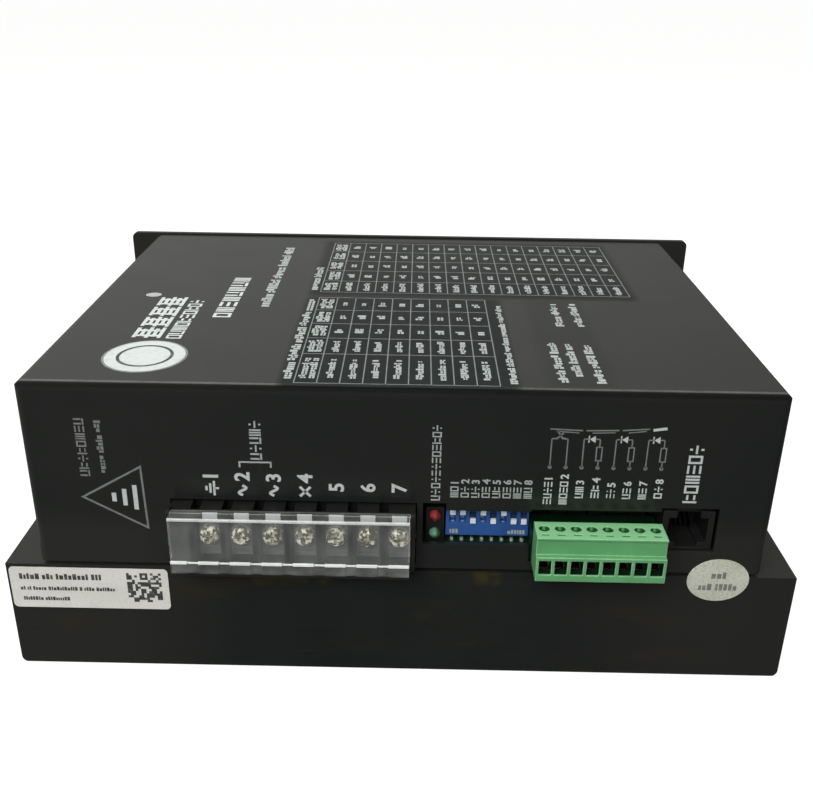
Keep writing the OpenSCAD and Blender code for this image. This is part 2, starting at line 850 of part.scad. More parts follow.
module header_pins() {
    half = 0.4;
    color(tin) at_front() for (x = plug_at) {
        block([x - half, x + half], [-1.8, header_pin_d + half], [header_pin_z - half, header_pin_z + half]);
        block([x - half, x + half], [header_pin_d - half, header_pin_d + half],
            [board_z - board_t - lead_below, header_pin_z]);
    }
}

module plug_housing() {
    rear = -2.5;
    cap_front = -10.1;
    band_front = -9.6;
    ledge_z = 42.9;
    cap_z = 47.1;
    hole_w = 3;
    hole_h = 3.9;
    color(plug_green) at_front() difference() {
        union() {
            translate([plug_x - plug_w / 2, 0, 0]) rotate([90, 0, 90]) linear_extrude(plug_w)
                polygon([[rear, plug_z0], [rear, plug_z1], [cap_front, plug_z1], [cap_front, cap_z],
                    [band_front, cap_z], [band_front, ledge_z], [-plug_proud, ledge_z],
                    [-plug_proud, plug_z0]]);
            block([33.35, 62.65], [rear - eps, 4.8], [38.1, 43.3]);
        }
        for (x = plug_at) {
            block([x - hole_w / 2, x + hole_w / 2], [-plug_proud - cut, -3.4],
                [wire_z - hole_h / 2, wire_z + hole_h / 2]);
            block([x - 1.45, x + 1.45], [-8.4, -3.3], [37.4, 43]);
            rod_z(x, clamp_d, [42.5, plug_z1 + cut], 1.3);
            block([x - 0.65, x + 0.65], [-3.5, 4.8 + cut], [header_pin_z - 0.65, header_pin_z + 0.65]);
            block([x - 0.95, x + 0.95], [-8.7, -8.1], [plug_z1 - 0.3, plug_z1 + cut]);
        }
    }
}

module plug_screws() {
    color(steel) at_front() for (x = plug_at) translate([x, clamp_d, 44.3]) difference() {
        union() {
            cylinder(h = 2.2, r = 1.2);
            translate([0, 0, -2.8]) cylinder(h = 2.8 + eps, r = 0.75);
        }
        translate([-1.5, -0.2, 1.5]) cube([3, 0.4, 1]);
    }
}

module plug_clamps() {
    color([0.78, 0.72, 0.5]) at_front() for (x = plug_at) difference() {
        block([x - 1.35, x + 1.35], [-8.1, -3.6], [37.6, 43]);
        block([x - 1.05, x + 1.05], [-8.1 - cut, -3.6 + cut], [38.2, 42.1]);
        rod_z(x, clamp_d, [42, 43 + cut], 0.8);
    }
}

// ---------------------------------------------------------------- modular jack

module jack_housing() {
    half = 6.35;
    top = 49.5;
    rear = 13.5;
    color(black) at_front() difference() {
        union() {
            block([jack_x - half, jack_x + half], [1.5, rear], [board_z, top]);
            block([jack_x - half, jack_x + half], [0.6, 1.5 + eps], [38.7, top]);
        }
        block([jack_x - 4.9, jack_x + 4.9], [-cut, 12], [40.7, 47.6]);
        block([jack_x - 2.9, jack_x + 2.9], [-cut, 12], [39.4, 40.8]);
        block([jack_x - 2.9, jack_x + 2.9], [-cut, 8], [47.5, 48.7]);
        block([jack_x - 2.9, jack_x + 2.9], [-cut, 2], [47.5, top + cut]);
        for (k = [0 : jack_ways - 1]) {
            x = jack_x + (k - (jack_ways - 1) / 2) * jack_pitch;
            block([x - 0.3, x + 0.3], [11.5, rear + cut], [44.4, 45.1]);
        }
    }
}

module jack_contacts() {
    wire = 0.4;
    bend_d = 10.4;
    color("gold") at_front() for (k = [0 : jack_ways - 1]) {
        x = jack_x + (k - (jack_ways - 1) / 2) * jack_pitch - wire / 2;
        translate([x, bend_d, 44.5]) rotate([27, 0, 0]) translate([0, -5, 0]) cube([wire, 5.2, wire]);
        translate([x, bend_d, 44.5]) cube([wire, jack_leg_d - bend_d + wire / 2, wire]);
        translate([x, jack_leg_d - wire / 2, board_z - board_t - lead_below])
            cube([wire, wire, 44.5 + wire - board_z + board_t + lead_below]);
    }
}

// ---------------------------------------------------------------- labels

module rating_label() {
    size = [40.5, 12.2];
    corner = [-99.4, 17.9];
    color(paper) translate([corner[0], front_y, corner[1]]) rotate([90, 0, 0])
        linear_extrude(label_t) rounded_rect(size[0], size[1], 1.2);
}

module inspection_sticker() {
    half = [7.8, 6.2];
    sides = 64;
    color(paper) translate([80.2, front_y, 30.1]) rotate([90, 0, 0]) linear_extrude(label_t)
        polygon([for (k = [0 : sides - 1]) [half[0] * cos(360 * k / sides), half[1] * sin(360 * k / sides)]]);
}

heat_sink();
cover();
cover_screws();
clinch_nuts();
power_board();
control_board();
standoffs();
board_screws();
board_link();
insulating_sheet();
power_module();
bridge_rectifier();
module_screws();
thermal_pads();
bus_capacitors();
choke_core();
choke_windings();
film_capacitors();
varistor();
fuse();
inrush_relay();
flyback_transformer();
brake_resistor();
current_shunts();
optocouplers();
control_chip();
barrier_block();
barrier_contacts();
barrier_cover();
for (k = [1 : poles]) terminal_screw(k - 1);
dip_body();
component_leads();
for (k = [1 : ways]) dip_slider(k - 1);
led_holder();
led_red();
led_green();
signal_header();
header_pins();
plug_housing();
plug_screws();
plug_clamps();
jack_housing();
jack_contacts();
rating_label();
inspection_sticker();
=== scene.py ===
"""Looks for a mains stepper drive on its heat sink: finishes, printed marks and a studio."""

import json
import math
import random

import bmesh
import bpy
from mathutils import Matrix, Vector


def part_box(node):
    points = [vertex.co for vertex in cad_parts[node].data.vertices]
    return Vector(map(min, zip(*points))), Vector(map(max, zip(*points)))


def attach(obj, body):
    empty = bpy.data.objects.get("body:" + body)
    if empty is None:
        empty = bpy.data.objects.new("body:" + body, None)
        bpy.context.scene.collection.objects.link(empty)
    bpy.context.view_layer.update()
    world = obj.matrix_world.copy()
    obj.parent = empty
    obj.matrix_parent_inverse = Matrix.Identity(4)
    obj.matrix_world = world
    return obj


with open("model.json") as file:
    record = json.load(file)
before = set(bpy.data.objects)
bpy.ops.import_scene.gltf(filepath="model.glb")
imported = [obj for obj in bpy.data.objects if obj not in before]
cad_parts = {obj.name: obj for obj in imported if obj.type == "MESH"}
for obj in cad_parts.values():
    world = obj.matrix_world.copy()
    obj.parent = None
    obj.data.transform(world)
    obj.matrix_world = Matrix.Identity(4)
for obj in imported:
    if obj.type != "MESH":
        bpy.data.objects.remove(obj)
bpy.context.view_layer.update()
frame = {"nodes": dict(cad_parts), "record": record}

MM = 0.001
SEED = 7
FAR = 1  # metres: a bound that lies outside the part on every side

# The camera, fitted to the object's corners: place in millimetres, angles in degrees.
CAMERA_PLACE = (2.84, -269.55, 170.04)
CAMERA_TILT, CAMERA_TURN, CAMERA_ROLL = 24.058, 0.492, 0.831
LENS, SENSOR = 42.87, 36


# ---------------------------------------------------------------- measures of the frame

def middle(node):
    low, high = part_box(node)
    return (low + high) / 2


def middles(prefix, count):
    return [middle(f"{prefix}{k}") for k in range(1, count + 1)]


COVER_LOW, COVER_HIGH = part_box("cover")
FRONT_Y = COVER_LOW.y
TOP_Z = COVER_HIGH.z
POLES = middles("terminal_screw_", 7)
WAYS = middles("dip_slider_", 8)
PLUG_LOW, PLUG_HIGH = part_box("plug_housing")
PLUG_MIDDLE = (PLUG_LOW.x + PLUG_HIGH.x) / 2
PLUG_PITCH = 3.81 * MM
SIGNALS = [PLUG_MIDDLE + (k - 3.5) * PLUG_PITCH for k in range(8)]
POLE_PITCH = POLES[1].x - POLES[0].x
WAY_PITCH = WAYS[1].x - WAYS[0].x


# ---------------------------------------------------------------- node materials

# Heights and places, in metres, at which a finish changes.
WIRE_HOLES_Z = (0.03805, 0.04205)
SCREW_HOLES_Z = 0.0429
SLIDER_FEET_Z = (0.0431, 0.0445)
LEAD_TIPS_Z = (0.0370, 0.0377)
TANG_Z = 0.0478
LIP_Z = 0.0391
PADS_TOP_Z = 0.0475
PALE_COVER_ENDS_X, PALE_COVER_FOOT_Z = 0.066, 0.041
PALE_SINK_ENDS_X = 0.07
AMBER_PATCH_BY_TERMINALS = ((-0.036, -FAR, 0.028), (-0.018, FRONT_Y, 0.0295))
AMBER_PATCH_BY_SWITCHES = ((0.0195, -FAR, 0.0282), (0.0245, FRONT_Y, 0.0305))
NOISE_ROUGHNESS = 0.55
FLAT_AGREEMENT = 0.985


class Finish:
    """One procedural material, built around a Principled shader in object coordinates."""

    def __init__(self, name, **sockets):
        self.material = bpy.data.materials.new(name)
        self.material.use_nodes = True
        self.tree = self.material.node_tree
        self.tree.nodes.clear()
        self.shader = self.node("ShaderNodeBsdfPrincipled")
        output = self.node("ShaderNodeOutputMaterial")
        self.link(self.shader.outputs["BSDF"], output.inputs["Surface"])
        self.place = self.node("ShaderNodeTexCoord").outputs["Object"]
        for socket, value in sockets.items():
            self.shader.inputs[socket.replace("_", " ")].default_value = value

    def node(self, kind, **settings):
        made = self.tree.nodes.new(kind)
        for key, value in settings.items():
            setattr(made, key, value)
        return made

    def link(self, source, target):
        self.tree.links.new(source, target)

    def noise(self, size, detail=3.0, stretch=(1, 1, 1)):
        """Noise whose features are about size metres across."""
        mapping = self.node("ShaderNodeMapping")
        mapping.inputs["Scale"].default_value = stretch
        self.link(self.place, mapping.inputs["Vector"])
        made = self.node("ShaderNodeTexNoise")
        made.inputs["Scale"].default_value = 1 / size
        made.inputs["Detail"].default_value = detail
        made.inputs["Roughness"].default_value = NOISE_ROUGHNESS
        self.link(mapping.outputs["Vector"], made.inputs["Vector"])
        return made.outputs["Fac"]

    def spots(self, size):
        """Rounded cells about size metres across, 0 at each cell's middle."""
        made = self.node("ShaderNodeTexVoronoi")
        made.inputs["Scale"].default_value = 1 / size
        made.inputs["Randomness"].default_value = 1.0
        self.link(self.place, made.inputs["Vector"])
        return made.outputs["Distance"]

    def scaled(self, value, source_low, source_high, low, high):
        """The value moved from its source range to low..high, and held inside it."""
        made = self.node("ShaderNodeMapRange")
        made.inputs["From Min"].default_value = source_low
        made.inputs["From Max"].default_value = source_high
        made.inputs["To Min"].default_value = low
        made.inputs["To Max"].default_value = high
        self.link(value, made.inputs["Value"])
        return made.outputs["Result"]

    def times(self, a, b):
        made = self.node("ShaderNodeMath", operation="MULTIPLY", use_clamp=True)
        self.link(a, made.inputs[0])
        if isinstance(b, float):
            made.inputs[1].default_value = b
        else:
            self.link(b, made.inputs[1])
        return made.outputs["Value"]

    def plus(self, a, b):
        made = self.node("ShaderNodeMath", operation="ADD", use_clamp=True)
        self.link(a, made.inputs[0])
        self.link(b, made.inputs[1])
        return made.outputs["Value"]

    def blend(self, share, first, second):
        """A colour from first to second; each is a colour or another node's output."""
        made = self.node("ShaderNodeMix", data_type="RGBA")
        self.link(share, made.inputs["Factor"])
        for value, socket in ((first, made.inputs[6]), (second, made.inputs[7])):
            if isinstance(value, tuple):
                socket.default_value = (*value, 1)
            else:
                self.link(value, socket)
        return made.outputs[2]

    def axis(self, name):
        """The X, Y or Z of the object coordinates."""
        made = self.node("ShaderNodeSeparateXYZ")
        self.link(self.place, made.inputs["Vector"])
        return made.outputs[name]

    def within(self, name, low, high, soft):
        """1 between low and high along an axis, falling to 0 over the soft distance outside it."""
        place = self.axis(name)
        rising = self.scaled(place, low - soft, low, 0, 1)
        return self.times(rising, self.scaled(place, high + soft, high, 0, 1))

    def inside(self, low, high, soft):
        """1 inside a box, falling to 0 over the soft distance around it."""
        along, deep, up = (self.within(*side, soft) for side in zip("XYZ", low, high))
        return self.times(self.times(along, deep), up)

    def columns(self, first, pitch, half, soft):
        """1 within half a width of evenly spaced places along X, falling to 0 over the soft distance."""
        shifted = self.node("ShaderNodeMath", operation="SUBTRACT")
        self.link(self.axis("X"), shifted.inputs[0])
        shifted.inputs[1].default_value = first
        folded = self.node("ShaderNodeMath", operation="PINGPONG")
        self.link(shifted.outputs["Value"], folded.inputs[0])
        folded.inputs[1].default_value = pitch / 2
        return self.scaled(folded.outputs["Value"], half + soft, half, 0, 1)

    def soft_edges(self, radius, full=0.86):
        """Normals rounded over the part's edges, and a mask that is 1 where they turn as far as full."""
        bevel = self.node("ShaderNodeBevel", samples=4)
        bevel.inputs["Radius"].default_value = radius
        flat = self.node("ShaderNodeNewGeometry")
        agree = self.node("ShaderNodeVectorMath", operation="DOT_PRODUCT")
        self.link(bevel.outputs["Normal"], agree.inputs[0])
        self.link(flat.outputs["Normal"], agree.inputs[1])
        return bevel.outputs["Normal"], self.scaled(agree.outputs["Value"], FLAT_AGREEMENT, full, 0, 1)

    def bump(self, height, distance, normal=None):
        made = self.node("ShaderNodeBump")
        made.inputs["Strength"].default_value = 1.0
        made.inputs["Distance"].default_value = distance
        self.link(height, made.inputs["Height"])
        if normal is not None:
            self.link(normal, made.inputs["Normal"])
        return made.outputs["Normal"]

    def colour(self, value):
        self.link(value, self.shader.inputs["Base Color"])

    def roughness(self, value):
        self.link(value, self.shader.inputs["Roughness"])

    def normal(self, value):
        self.link(value, self.shader.inputs["Normal"])


def powder_coat():
    """Satin black powder coat on folded sheet: fine orange peel, handling haze, rubbed edges, paler low ends,
    a painted highlight along the top of the front bend and painted shade just below it.
    """
    f = Finish("powder_coat", Specular_IOR_Level=0.5)
    normal, edge = f.soft_edges(0.3 * MM)
    rubbed = f.times(edge, f.scaled(f.noise(3 * MM, 4), 0.5, 0.75, 0, 0.35))
    haze = f.scaled(f.noise(38 * MM, 5), 0.35, 0.7, 0, 1)
    base = f.blend(haze, (0.0098, 0.0112, 0.0105), (0.0122, 0.0132, 0.0122))
    smear = f.times(f.scaled(f.noise(16 * MM, 6, (1, 1, 0.35)), 0.6, 0.8, 0, 0.5), haze)
    base = f.blend(smear, base, (0.02, 0.0195, 0.016))
    # Paler towards both ends, low on the front.
    ends = f.plus(f.within("X", -FAR, -PALE_COVER_ENDS_X, 0.015), f.within("X", PALE_COVER_ENDS_X, FAR, 0.02))
    front_foot = f.inside((-FAR, -FAR, 0), (FAR, FRONT_Y + 1 * MM, PALE_COVER_FOOT_Z), 0.007)
    pale_low_ends = f.times(ends, front_foot)
    base = f.blend(f.times(pale_low_ends, 0.8), base, (0.0185, 0.0185, 0.0165))
    # Painted highlight: a pale line along the top of the front bend.
    painted_fold_highlight = f.inside((-FAR, FRONT_Y + 1.45 * MM, TOP_Z - 0.4 * MM), (FAR, FRONT_Y + 2.1 * MM, FAR), 0.25 * MM)
    painted_fold_highlight = f.times(painted_fold_highlight, f.scaled(f.noise(9 * MM, 3), 0.3, 0.6, 0.35, 1))
    base = f.blend(painted_fold_highlight, base, (0.06, 0.06, 0.056))
    # Painted shade: a near-black band on the bend just below the top.
    painted_fold_shade = f.times(f.within("Z", TOP_Z - 0.9 * MM, TOP_Z - 0.4 * MM, 0.9 * MM),
                   f.within("Y", -FAR, FRONT_Y + 1.1 * MM, 0.3 * MM))
    base = f.blend(f.times(painted_fold_shade, 0.85), base, (0.0015, 0.0015, 0.0015))
    f.colour(f.blend(rubbed, base, (0.045, 0.045, 0.042)))
    f.roughness(f.scaled(f.noise(14 * MM, 6), 0.3, 0.7, 0.2, 0.28))
    peel = f.noise(0.5 * MM, 2)
    f.normal(f.bump(peel, 0.004 * MM, f.bump(f.noise(7 * MM, 2), 0.012 * MM, normal)))
    return f.material


def anodised():
    """Black anodised extrusion: drawn lines along X, brownish smears, paler ends and amber patches by the
    switches and below the terminals.
    """
    f = Finish("anodised", Specular_IOR_Level=0.15)
    normal, edge = f.soft_edges(0.2 * MM)
    drawn = f.noise(0.5 * MM, 4, (0.012, 1, 1))
    cloud = f.noise(30 * MM, 5)
    base = f.blend(f.scaled(cloud, 0.35, 0.7, 0, 1), (0.0105, 0.0125, 0.0122), (0.0142, 0.0152, 0.014))
    # Paler towards both ends.
    ends = f.plus(f.within("X", -FAR, -PALE_SINK_ENDS_X, 0.03), f.within("X", PALE_SINK_ENDS_X, FAR, 0.03))
    base = f.blend(f.times(ends, 0.7), base, (0.0215, 0.0215, 0.0195))
    smear = f.noise(13 * MM, 6, (0.35, 1, 1.3))
    base = f.blend(f.scaled(smear, 0.56, 0.74, 0, 0.75), base, (0.0245, 0.0195, 0.0105))
    # Amber patches on the front by the switches and below the terminals.
    amber_patches = f.plus(f.inside(*AMBER_PATCH_BY_SWITCHES, 1.5 * MM), f.inside(*AMBER_PATCH_BY_TERMINALS, 2.5 * MM))
    patchy = f.scaled(f.noise(4 * MM, 4), 0.36, 0.6, 0.1, 1)
    base = f.blend(f.times(amber_patches, patchy), base, (0.035, 0.027, 0.009))
    lined = f.blend(f.scaled(drawn, 0.5, 0.8, 0, 0.35), base, (0.021, 0.021, 0.0195))
    worn = f.times(edge, f.scaled(f.noise(4 * MM, 4), 0.58, 0.76, 0, 0.4))
    f.colour(f.blend(worn, lined, (0.07, 0.07, 0.066)))
    f.roughness(f.scaled(drawn, 0.3, 0.7, 0.27, 0.38))
    f.normal(f.bump(drawn, 0.006 * MM, normal))
    return f.material


def moulding(name, dark, light, rough, grain=0.4 * MM, depth=0.008 * MM, edge_tone=None, radius=0.2 * MM,
             full=0.86, **sockets):
    """Moulded plastic: fine spark-eroded grain, faint flow clouds and softened edges, made paler as a painted
    highlight when an edge colour is given.

    Returns the finish and its base colour, so that a caller can paint over it."""
    f = Finish(name, **sockets)
    normal, edge = f.soft_edges(radius, full)
    base = f.blend(f.scaled(f.noise(7 * MM, 4), 0.35, 0.7, 0, 1), dark, light)
    # Painted highlight: the softened edges made paler.
    if edge_tone:
        base = f.blend(f.times(edge, f.scaled(f.noise(2 * MM, 3), 0.3, 0.7, 0.45, 1)), base, edge_tone)
    f.colour(base)
    f.roughness(f.scaled(f.noise(3 * MM, 5), 0.3, 0.7, rough - 0.06, rough + 0.08))
    f.normal(f.bump(f.noise(grain, 2), depth, normal))
    return f, base


def moulded(*settings, **more):
    """The material alone, for plastics that need no more paint."""
    return moulding(*settings, **more)[0].material


def plug_moulding():
    """The plug's green, with painted shade in its wire openings and screw holes, and a painted highlight on
    its top and along its edges.
    """
    f, base = moulding("green_moulding", (0.088, 0.285, 0.112), (0.112, 0.335, 0.138), 0.36,
                       edge_tone=(0.42, 0.7, 0.44), radius=0.42 * MM, full=0.94)
    # Painted light: the top face made paler.
    top = f.within("Z", PLUG_HIGH.z - 0.1 * MM, FAR, 0.05 * MM)
    base = f.blend(f.times(top, 0.62), base, (0.25, 0.55, 0.28))
    left, right = PLUG_LOW.x + 0.5 * MM, PLUG_HIGH.x - 0.5 * MM
    wires_low, wires_high = WIRE_HOLES_Z
    # Painted shade: the wire openings and the screw holes made dark.
    painted_wire_hole_shade = f.inside((left, PLUG_LOW.y + 0.45 * MM, wires_low), (right, 0, wires_high), 0.04 * MM)
    screws = f.inside((left, FRONT_Y - 8.8 * MM, SCREW_HOLES_Z),
                      (right, FRONT_Y - 4.4 * MM, PLUG_HIGH.z - 0.2 * MM), 0.1 * MM)
    base = f.blend(f.times(painted_wire_hole_shade, 0.97), base, (0.0015, 0.009, 0.003))
    f.colour(f.blend(f.times(screws, 0.9), base, (0.006, 0.045, 0.012)))
    return f.material


def switch_moulding():
    """The switch block's blue, paler at the foot of each slider's well."""
    f, base = moulding("blue_moulding", (0.021, 0.07, 0.225), (0.029, 0.092, 0.29), 0.34,
                       edge_tone=(0.07, 0.16, 0.4), radius=0.12 * MM)
    feet_low, feet_high = SLIDER_FEET_Z
    feet = f.inside((-FAR, FRONT_Y + 4.6 * MM, feet_low), (FAR, FAR, feet_high), 0.2 * MM)
    feet = f.times(feet, f.columns(WAYS[0].x, WAY_PITCH, 0.3 * MM, 0.25 * MM))
    f.colour(f.blend(f.times(feet, 0.9), base, (0.26, 0.42, 0.7)))
    return f.material


def struck_nickel():
    """Bright nickel of the terminal screws: small struck facets, painted glints that make some facets blazing
    and some dark, and a painted highlight along the edges.
    """
    f = Finish("struck_nickel", Metallic=0.3)
    normal, edge = f.soft_edges(0.15 * MM)
    cells = f.node("ShaderNodeTexVoronoi")
    cells.inputs["Scale"].default_value = 1 / (0.75 * MM)
    f.link(f.place, cells.inputs["Vector"])
    # Painted glints: each facet painted blazing bright or dark.
    painted_glints = f.scaled(cells.outputs["Color"], 0.42, 0.7, 0, 1)
    tone = f.blend(painted_glints, (0.07, 0.066, 0.04), (0.74, 0.72, 0.58))
    # Painted highlight: the edges made paler.
    tone = f.blend(f.times(edge, 0.3), tone, (0.9, 0.88, 0.75))
    washer = f.within("Y", FRONT_Y - 6.0 * MM, FAR, 0.1 * MM)
    f.colour(f.blend(f.times(washer, 0.9), tone, (0.13, 0.13, 0.112)))
    f.roughness(f.scaled(f.noise(0.6 * MM, 4), 0.3, 0.7, 0.18, 0.36))
    f.normal(f.bump(cells.outputs["Distance"], 0.12 * MM, normal))
    return f.material


def contact_plate():
    """Dull rolled plate of the terminals, with painted light where its tang rises behind the clear cover and
    a faint painted highlight along its edges.
    """
    f = Finish("contact_plate", Metallic=0.25)
    normal, edge = f.soft_edges(0.12 * MM)
    rolled = f.noise(0.9 * MM, 4, (0.15, 1, 1.6))
    base = f.blend(f.scaled(rolled, 0.35, 0.65, 0, 1), (0.062, 0.066, 0.064), (0.12, 0.125, 0.118))
    # Painted light: the tang made bright.
    tang = f.within("Z", TANG_Z, FAR, 0.4 * MM)
    base = f.blend(tang, base, (0.52, 0.55, 0.53))
    # Painted highlight: the edges made slightly paler.
    f.colour(f.blend(f.times(edge, 0.1), base, (0.4, 0.4, 0.38)))
    f.roughness(f.scaled(rolled, 0.3, 0.7, 0.35, 0.55))
    f.normal(f.bump(rolled, 0.01 * MM, normal))
    return f.material


def plated(name, dark, light, rough, stretch=(1, 1, 1), radius=0.12 * MM, bite=0.006 * MM, metallic=1.0):
    """Plated or turned metal: fine scratches, dull clouds and soft edges with a painted highlight along them.
    """
    f = Finish(name, Metallic=metallic)
    normal, edge = f.soft_edges(radius)
    tone = f.blend(f.scaled(f.noise(1.6 * MM, 5), 0.35, 0.68, 0, 1), dark, light)
    # Painted highlight: the soft edges made paler.
    f.colour(f.blend(f.times(edge, 0.5), tone, tuple(min(1.0, c * 1.25) for c in light)))
    f.roughness(f.scaled(f.noise(0.9 * MM, 5, stretch), 0.3, 0.7, rough - 0.08, rough + 0.12))
    f.normal(f.bump(f.noise(0.25 * MM, 3, stretch), bite, normal))
    return f.material


def slider_moulding():
    """The white sliders, with painted shade where they run inside the blue block."""
    f, base = moulding("white_moulding", (0.55, 0.62, 0.72), (0.66, 0.72, 0.82), 0.35, radius=0.12 * MM)
    # Painted shade: the sliders made dark blue inside the block.
    painted_slot_shade = f.within("Y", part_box("dip_body")[0].y + 0.1 * MM, FAR, 0.1 * MM)
    f.colour(f.blend(f.times(painted_slot_shade, 0.97), base, (0.02, 0.045, 0.11)))
    return f.material


def soldered_tin():
    """Tinned leads: dull with flux, bright where each tip was wetted."""
    f = Finish("tin", Metallic=0.3)
    normal, edge = f.soft_edges(0.12 * MM)
    tip = f.columns(WAYS[0].x, WAY_PITCH, 0.3 * MM, 0.15 * MM)
    tip = f.times(tip, f.within("Z", *LEAD_TIPS_Z, 0.15 * MM))
    flux = f.scaled(f.noise(0.7 * MM, 4), 0.35, 0.65, 0, 1)
    fluxed = f.blend(flux, (0.02, 0.026, 0.02), (0.05, 0.058, 0.05))
    tip = f.times(tip, f.scaled(f.noise(0.8 * MM, 3), 0.3, 0.6, 0.35, 1))
    f.colour(f.blend(tip, fluxed, (0.6, 0.63, 0.56)))
    f.roughness(f.scaled(f.noise(0.6 * MM, 3), 0.3, 0.7, 0.3, 0.5))
    f.normal(f.bump(f.noise(0.3 * MM, 2), 0.01 * MM, normal))
    return f.material


def solder_mask():
    """Green mask over glass laminate, with a faint weave and copper planes under it."""
    f = Finish("solder_mask", Coat_Weight=0.4, Coat_Roughness=0.2)
    planes = f.scaled(f.spots(9 * MM), 0.3, 0.5, 0, 1)
    base = f.blend(planes, (0.006, 0.042, 0.019), (0.004, 0.026, 0.013))
    f.colour(f.blend(f.scaled(f.noise(0.4 * MM, 2), 0.4, 0.7, 0, 0.4), base, (0.01, 0.055, 0.028)))
    f.roughness(f.scaled(f.noise(2 * MM, 4), 0.3, 0.7, 0.3, 0.45))
    f.normal(f.bump(f.noise(0.3 * MM, 2), 0.01 * MM))
    return f.material


def clear_cover():
    """Clear polycarbonate: thin handling haze, a painted highlight on the brow, the lip and the edges above
    the lip, and a cloudy foot below the lip.
    """
    low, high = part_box("barrier_cover")
    face = low.y + 0.5 * MM
    f = Finish("clear_cover", Specular_IOR_Level=0.6, Coat_Weight=0.3, Coat_Roughness=0.06)
    normal, edge = f.soft_edges(0.3 * MM)
    haze = f.noise(6 * MM, 5, (1, 1, 0.6))
    f.colour(f.blend(f.scaled(haze, 0.3, 0.7, 0, 1), (0.8, 0.84, 0.81), (0.9, 0.93, 0.91)))
    f.roughness(f.scaled(f.noise(2 * MM, 5), 0.3, 0.7, 0.1, 0.22))
    cloudy = f.scaled(haze, 0.3, 0.7, 0.02, 0.055)
    bare_end = f.times(f.within("X", -FAR, low.x + 5.5 * MM, 1.5 * MM), 0.01)
    # Painted highlights: the brow, the lip and the edges above the lip made opaque white.
    brow = f.inside((-FAR, -FAR, high.z - 0.55 * MM), (FAR, face + 0.45 * MM, FAR), 0.1 * MM)
    lip = f.inside((-FAR, -FAR, LIP_Z - 0.6 * MM), (FAR, face - 0.05 * MM, LIP_Z + 0.1 * MM), 0.04 * MM)
    foot = f.within("Z", 0, LIP_Z - 0.7 * MM, 0.1 * MM)
    foot = f.times(foot, f.scaled(f.noise(4 * MM, 4), 0.4, 0.7, 0.0, 0.05))
    painted_rim_highlight = f.times(edge, f.within("Z", LIP_Z + 0.4 * MM, FAR, 0.1 * MM))
    pads = f.times(f.columns(POLES[0].x, POLE_PITCH, 2.7 * MM, 0.9 * MM),
                   f.within("Z", LIP_Z, PADS_TOP_Z, 2 * MM))
    veil = f.plus(f.plus(cloudy, bare_end), f.plus(f.times(brow, 0.47), f.times(lip, 0.8)))
    veil = f.plus(veil, f.times(pads, 0.015))
    f.link(f.plus(veil, f.plus(foot, f.times(painted_rim_highlight, 0.5))), f.shader.inputs["Alpha"])
    f.normal(f.bump(f.noise(1.2 * MM, 3), 0.006 * MM, normal))
    return f.material


def epoxy_lens(name, node, dark, light, highlight_tone, painted_glow):
    """Tinted epoxy of a lamp: glossy skin over a cloudy coloured body, a painted highlight at its upper left
    and a faint painted glow.
    """
    low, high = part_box(node)
    f = Finish(name, Coat_Weight=1.0, Coat_Roughness=0.05, Subsurface_Weight=0.25, Subsurface_Scale=0.0008)
    body = f.blend(f.scaled(f.noise(0.8 * MM, 4), 0.35, 0.65, 0, 1), dark, light)
    mid_z = (low.z + high.z) / 2
    # Painted highlight: the upper left of the lens made paler.
    painted_highlight = f.inside((-FAR, -FAR, mid_z + 0.45 * MM), ((low.x + high.x) / 2, FAR, high.z - 0.3 * MM), 0.8 * MM)
    body = f.blend(painted_highlight, body, highlight_tone)
    f.colour(body)
    f.roughness(f.scaled(f.noise(0.5 * MM, 3), 0.3, 0.7, 0.12, 0.25))
    # Painted glow: the lens gives off a little of its own colour as light.
    f.link(body, f.shader.inputs["Emission Color"])
    f.shader.inputs["Emission Strength"].default_value = painted_glow
    f.normal(f.bump(f.noise(0.6 * MM, 2), 0.004 * MM))
    return f.material


def printed_film(name, dark, light, speck, specks):
    """Label film: slight yellowing, dust and a soft ripple."""
    f = Finish(name, Coat_Weight=0.1, Coat_Roughness=0.3)
    tone = f.blend(f.scaled(f.noise(9 * MM, 5), 0.35, 0.7, 0, 1), dark, light)
    f.colour(f.blend(f.scaled(f.noise(0.6 * MM, 4), 0.48, 0.7, 0, specks), tone, speck))
    f.roughness(f.scaled(f.noise(2 * MM, 4), 0.3, 0.7, 0.4, 0.6))
    f.normal(f.bump(f.noise(5 * MM, 2), 0.02 * MM))
    return f.material


def ink(name, full, thin, wear):
    """Screen-printed ink: slightly uneven lay, thinner where it was rubbed."""
    f = Finish(name, Specular_IOR_Level=0.3)
    f.colour(f.blend(f.scaled(f.noise(1.6 * MM, 5), 0.5, 0.75, 0, wear), full, thin))
    f.roughness(f.scaled(f.noise(0.5 * MM, 3), 0.3, 0.7, 0.5, 0.7))
    f.normal(f.bump(f.noise(0.2 * MM, 2), 0.003 * MM))
    return f.material


